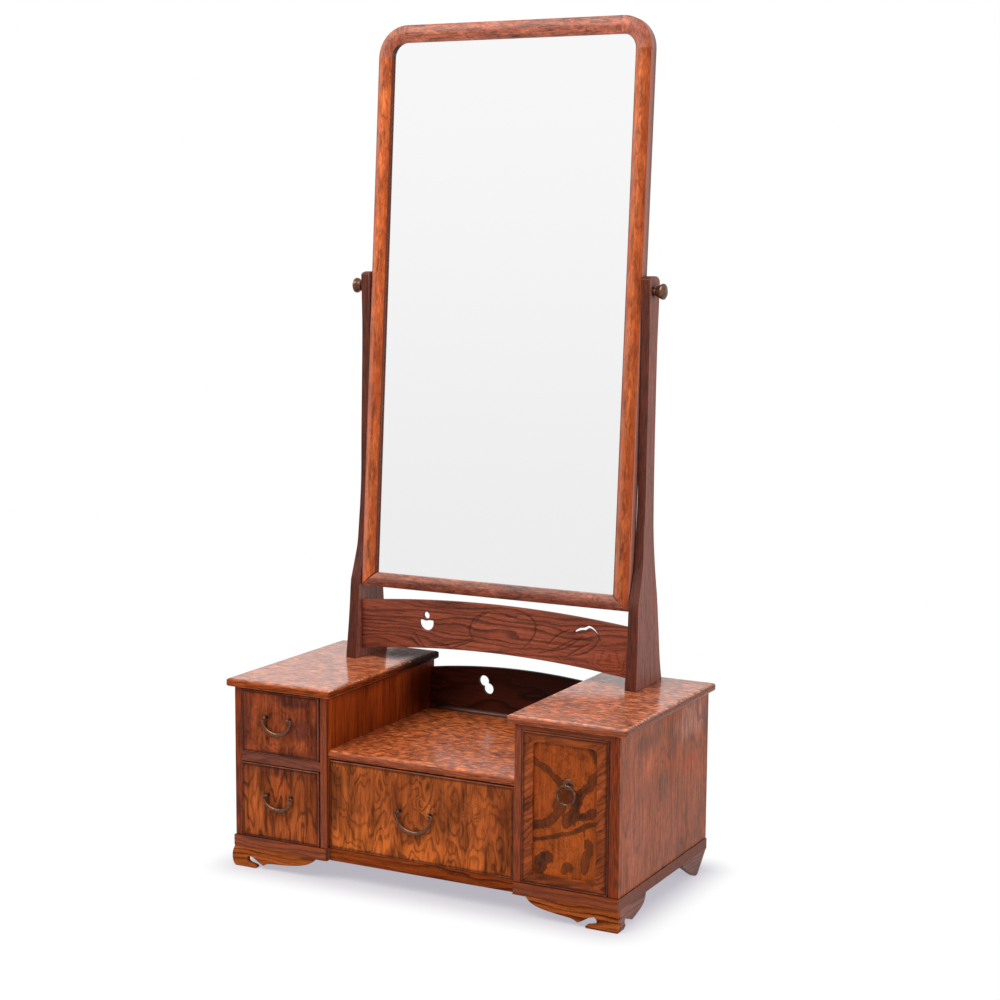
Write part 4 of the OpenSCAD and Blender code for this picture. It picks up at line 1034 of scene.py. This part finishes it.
class DRESSING_OT_metalwork(bpy.types.Operator):
    """Aged bronze pulls, ring, rosette, pins, bushes and knobs"""

    bl_idname = "dressing.metalwork"
    bl_label = "Metalwork"

    def bail(self, node, drop, metal):
        """A cast bail, thick at its belly and thin where it turns in to its posts."""
        low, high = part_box(node)
        wire = (high.y - low.y) / 2
        middle = Vector(((low.x + high.x) / 2, (low.y + high.y) / 2, high.z - wire))
        reach = (high.x - low.x) / 2 - wire
        belly, tip = 1.85 * wire, 0.8 * wire
        fall = drop * (reach + wire - belly)
        path = [(middle + Vector((-reach * math.cos(a), 0, -fall * math.sin(a))),
                 tip + (belly - tip) * math.sin(a) ** 1.4) for a in np.linspace(0, math.pi, BAIL_STEPS + 1)]
        turn_in = Vector((3.4 * wire, 0, 0))
        path = [(path[0][0] + turn_in, tip * 0.8), (path[0][0] + turn_in * 0.3, tip * 0.95), *path,
                (path[-1][0] - turn_in * 0.3, tip * 0.95), (path[-1][0] - turn_in, tip * 0.8)]
        rings = []
        for i, (point, radius) in enumerate(path):
            ahead = (path[min(i + 1, len(path) - 1)][0] - path[max(i - 1, 0)][0]).normalized()
            outward = ahead.cross(Vector((0, 1, 0)))
            flat = radius * (1 - 0.2 * (radius - 0.8 * tip) / (belly - 0.8 * tip))
            rings.append([point + radius * math.cos(t) * outward + Vector((0, flat * math.sin(t), 0))
                          for t in turns(SIDES)])
        casting(node, rings, metal)

    def ring(self, node, metal):
        """The door's ring, as thick as its eye lets through."""
        low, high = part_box(node)
        wire = (high.y - low.y) / 2
        middle = (low + high) / 2
        reach, thick = (high.x - low.x) / 2 - wire, 1.2 * wire
        rings = []
        for a in turns(RING_STEPS):
            out = [(reach + thick * math.cos(t), thick * math.sin(t)) for t in turns(SIDES)]
            rings.append([middle + Vector((far * math.cos(a), side, far * math.sin(a))) for far, side in out])
        casting(node, rings, metal, closed=True)

    def bronze(self, ground):
        """Brown metal, duller and darker in stains."""
        sheet = Sheet("aged bronze")
        place = sheet.place()
        stain = sheet.noise(place, 260, 3.0, 0.6).step(0.42, 0.72)
        grit = sheet.noise(place, 1600, 2.0)
        normal = sheet.node("ShaderNodeBump", {}, {"Strength": 0.3, "Distance": 0.0002, "Height": grit + stain})
        return sheet.surface({
            "Base Color": sheet.blend(stain, ground, scaled(ground, 0.3)),
            "Metallic": 0.92 - stain * 0.3,
            "Roughness": 0.28 + stain * 0.25,
            "Normal": normal,
        })

    def execute(self, context):
        metal = self.bronze(tuple(context.scene.dressing_colours.bronze))
        for bay, drop in (("upper", 1.0), ("lower", 0.86), ("centre", 1.0)):
            self.bail(f"{bay}_drawer_bail", drop, metal)
        self.ring("door_ring", metal)
        for node, slot in SLOT_OF.items():
            if slot == "aged_bronze" and not node.endswith(("_bail", "_ring")):
                finish_node(node, metal)
        return {"FINISHED"}


# Stage

# The camera as fitted to the picture: turn, height and roll in degrees, distance and target in metres
CAMERA = {"turn": 27.39, "height": 7.62, "roll": 0.4, "distance": 2.68322, "target": (0.0435, 0, 0.51551),
          "lens": 72.06}
# Half the floor's side, half the width and depth of where its shadow starts, and how far out it is white
FLOOR, SHADOW, SHADOW_FADE = 15.0, (0.27, 0.135, 0), 0.075


def aim(target, source):
    """Rotation that turns a lamp at source towards target."""
    return (Vector(target) - Vector(source)).to_track_quat("-Z", "Y").to_euler()


class DRESSING_OT_stage(bpy.types.Operator):
    """White floor, soft lamps and the camera"""

    bl_idname = "dressing.stage"
    bl_label = "Stage"

    def lamp(self, name, place, size, power, colour, target=(0, 0, 0.4)):
        """A square soft lamp that looks at the object."""
        data = bpy.data.lights.new(name, "AREA")
        data.shape = "SQUARE"
        data.size = size
        data.energy = power
        data.color = colour
        lamp = bpy.data.objects.new(name, data)
        lamp.location = place
        lamp.rotation_euler = aim(target, place)
        bpy.context.scene.collection.objects.link(lamp)

    def floor(self):
        """A floor with the object's shadow, white all round it where it is seen."""
        mesh = bpy.data.meshes.new("floor")
        corners = [(-FLOOR, -FLOOR, 0), (FLOOR, -FLOOR, 0), (FLOOR, FLOOR, 0), (-FLOOR, FLOOR, 0)]
        mesh.from_pydata(corners, [], [(0, 1, 2, 3)])
        floor = bpy.data.objects.new("floor", mesh)
        bpy.context.scene.collection.objects.link(floor)
        sheet = Sheet("studio floor")
        place = sheet.place()
        outside = sheet.node("ShaderNodeVectorMath", {"operation": "ABSOLUTE"}, {0: place})
        outside = sheet.vector("SUBTRACT", outside, SHADOW)
        distance = sheet.length(sheet.vector("MAXIMUM", outside, (0, 0, 0)))
        seen = self.background_rays(sheet)
        diffuse = sheet.node("ShaderNodeBsdfDiffuse", {}, {"Color": (*paint(226, 224, 226), 1)})
        shown_floor = sheet.node("ShaderNodeBsdfDiffuse", {}, {"Color": (*paint(146, 146, 142), 1)})
        glow = sheet.node("ShaderNodeEmission", {}, {"Color": (*paint(246, 243, 255), 1), "Strength": 0.5})
        near = sheet.node("ShaderNodeAddShader", {}, {0: shown_floor, 1: glow})
        white = sheet.node("ShaderNodeEmission", {}, {"Strength": 1.0})
        shown = sheet.node("ShaderNodeMixShader", {}, {0: distance.step(0.0, SHADOW_FADE), 1: near, 2: white})
        sheet.finish(sheet.node("ShaderNodeMixShader", {}, {0: seen, 1: diffuse, 2: shown}))
        mesh.materials.append(sheet.material)

    def background_rays(self, sheet):
        """1 for the rays that see the background, by the eye, in a gloss or through glass."""
        kinds = ("Is Camera Ray", "Is Glossy Ray", "Is Transmission Ray")
        camera, glossy, through = (sheet.node("ShaderNodeLightPath", output=kind) for kind in kinds)
        return camera.most(glossy).most(through)

    def world(self, strength):
        """Even light from all round, and white where it is seen."""
        sheet = Sheet("studio", world=True)
        sky = "ShaderNodeBackground"
        light = sheet.node(sky, {}, {"Color": (*paint(250, 250, 255), 1), "Strength": strength})
        white = sheet.node(sky, {}, {"Color": (1, 1, 1, 1), "Strength": 1.0})
        seen = self.background_rays(sheet)
        sheet.finish(sheet.node("ShaderNodeMixShader", {}, {0: seen, 1: light, 2: white}))
        bpy.context.scene.world = sheet.material

    def camera(self):
        """The camera as fitted to the picture."""
        turn, height = math.radians(CAMERA["turn"]), math.radians(CAMERA["height"])
        roll = math.radians(CAMERA["roll"])
        ahead = Vector((-math.sin(turn) * math.cos(height), math.cos(turn) * math.cos(height),
                        -math.sin(height)))
        level = Vector((math.cos(turn), math.sin(turn), 0))
        above = level.cross(ahead)
        right = math.cos(roll) * level + math.sin(roll) * above
        up = math.cos(roll) * above - math.sin(roll) * level
        data = bpy.data.cameras.new("camera")
        data.lens = CAMERA["lens"]
        data.sensor_width = 36
        data.clip_end = 60
        camera = bpy.data.objects.new("camera", data)
        camera.matrix_world = Matrix((right, up, -ahead)).transposed().to_4x4()
        camera.location = Vector(CAMERA["target"]) - ahead * CAMERA["distance"]
        bpy.context.scene.collection.objects.link(camera)
        bpy.context.scene.camera = camera

    def execute(self, context):
        studio = context.scene.dressing_studio
        self.floor()
        self.world(studio.fill)
        self.lamp("key", (-1.1, -2.0, 3.1), 2.5, studio.key, (1.0, 0.985, 0.96))
        self.lamp("overhead", (0.2, -0.5, 2.9), 2.4, studio.overhead, (1, 1, 1))
        self.lamp("side", (2.8, -0.4, 0.7), 1.2, studio.side, (0.98, 0.97, 1.0))
        self.camera()
        context.scene.view_settings.view_transform = "Standard"
        return {"FINISHED"}


class DRESSING_PT_panel(bpy.types.Panel):
    """Finishes of the dressing mirror"""

    bl_idname = "DRESSING_PT_panel"
    bl_label = "Dressing mirror"
    bl_space_type = "VIEW_3D"
    bl_region_type = "UI"
    bl_category = "Dressing mirror"

    def draw(self, context):
        for group in ("dressing_colours", "dressing_sizes", "dressing_studio"):
            box = self.layout.box()
            values = getattr(context.scene, group)
            for name in values.__annotations__:
                box.prop(values, name)
        for operator in OPERATORS:
            self.layout.operator(operator.bl_idname)


GROUPS = {"dressing_colours": DressingColours, "dressing_sizes": DressingSizes,
          "dressing_studio": DressingStudio}
OPERATORS = (DRESSING_OT_case, DRESSING_OT_tops, DRESSING_OT_fronts, DRESSING_OT_uprights, DRESSING_OT_rail,
             DRESSING_OT_mirror_frame, DRESSING_OT_bare_wood, DRESSING_OT_metalwork, DRESSING_OT_stage)
CLASSES = (*GROUPS.values(), *OPERATORS, DRESSING_PT_panel)


def register():
    for cls in CLASSES:
        bpy.utils.register_class(cls)
    for name, group in GROUPS.items():
        setattr(bpy.types.Scene, name, PointerProperty(type=group))


def unregister():
    for name in GROUPS:
        delattr(bpy.types.Scene, name)
    for cls in reversed(CLASSES):
        bpy.utils.unregister_class(cls)


def main():
    """Registers the tools and dresses the frame."""
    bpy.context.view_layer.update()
    register()
    for operator in OPERATORS:
        category, name = operator.bl_idname.split(".")
        getattr(getattr(bpy.ops, category), name)()
    bpy.context.view_layer.update()


if __name__ == "__main__":
    main()
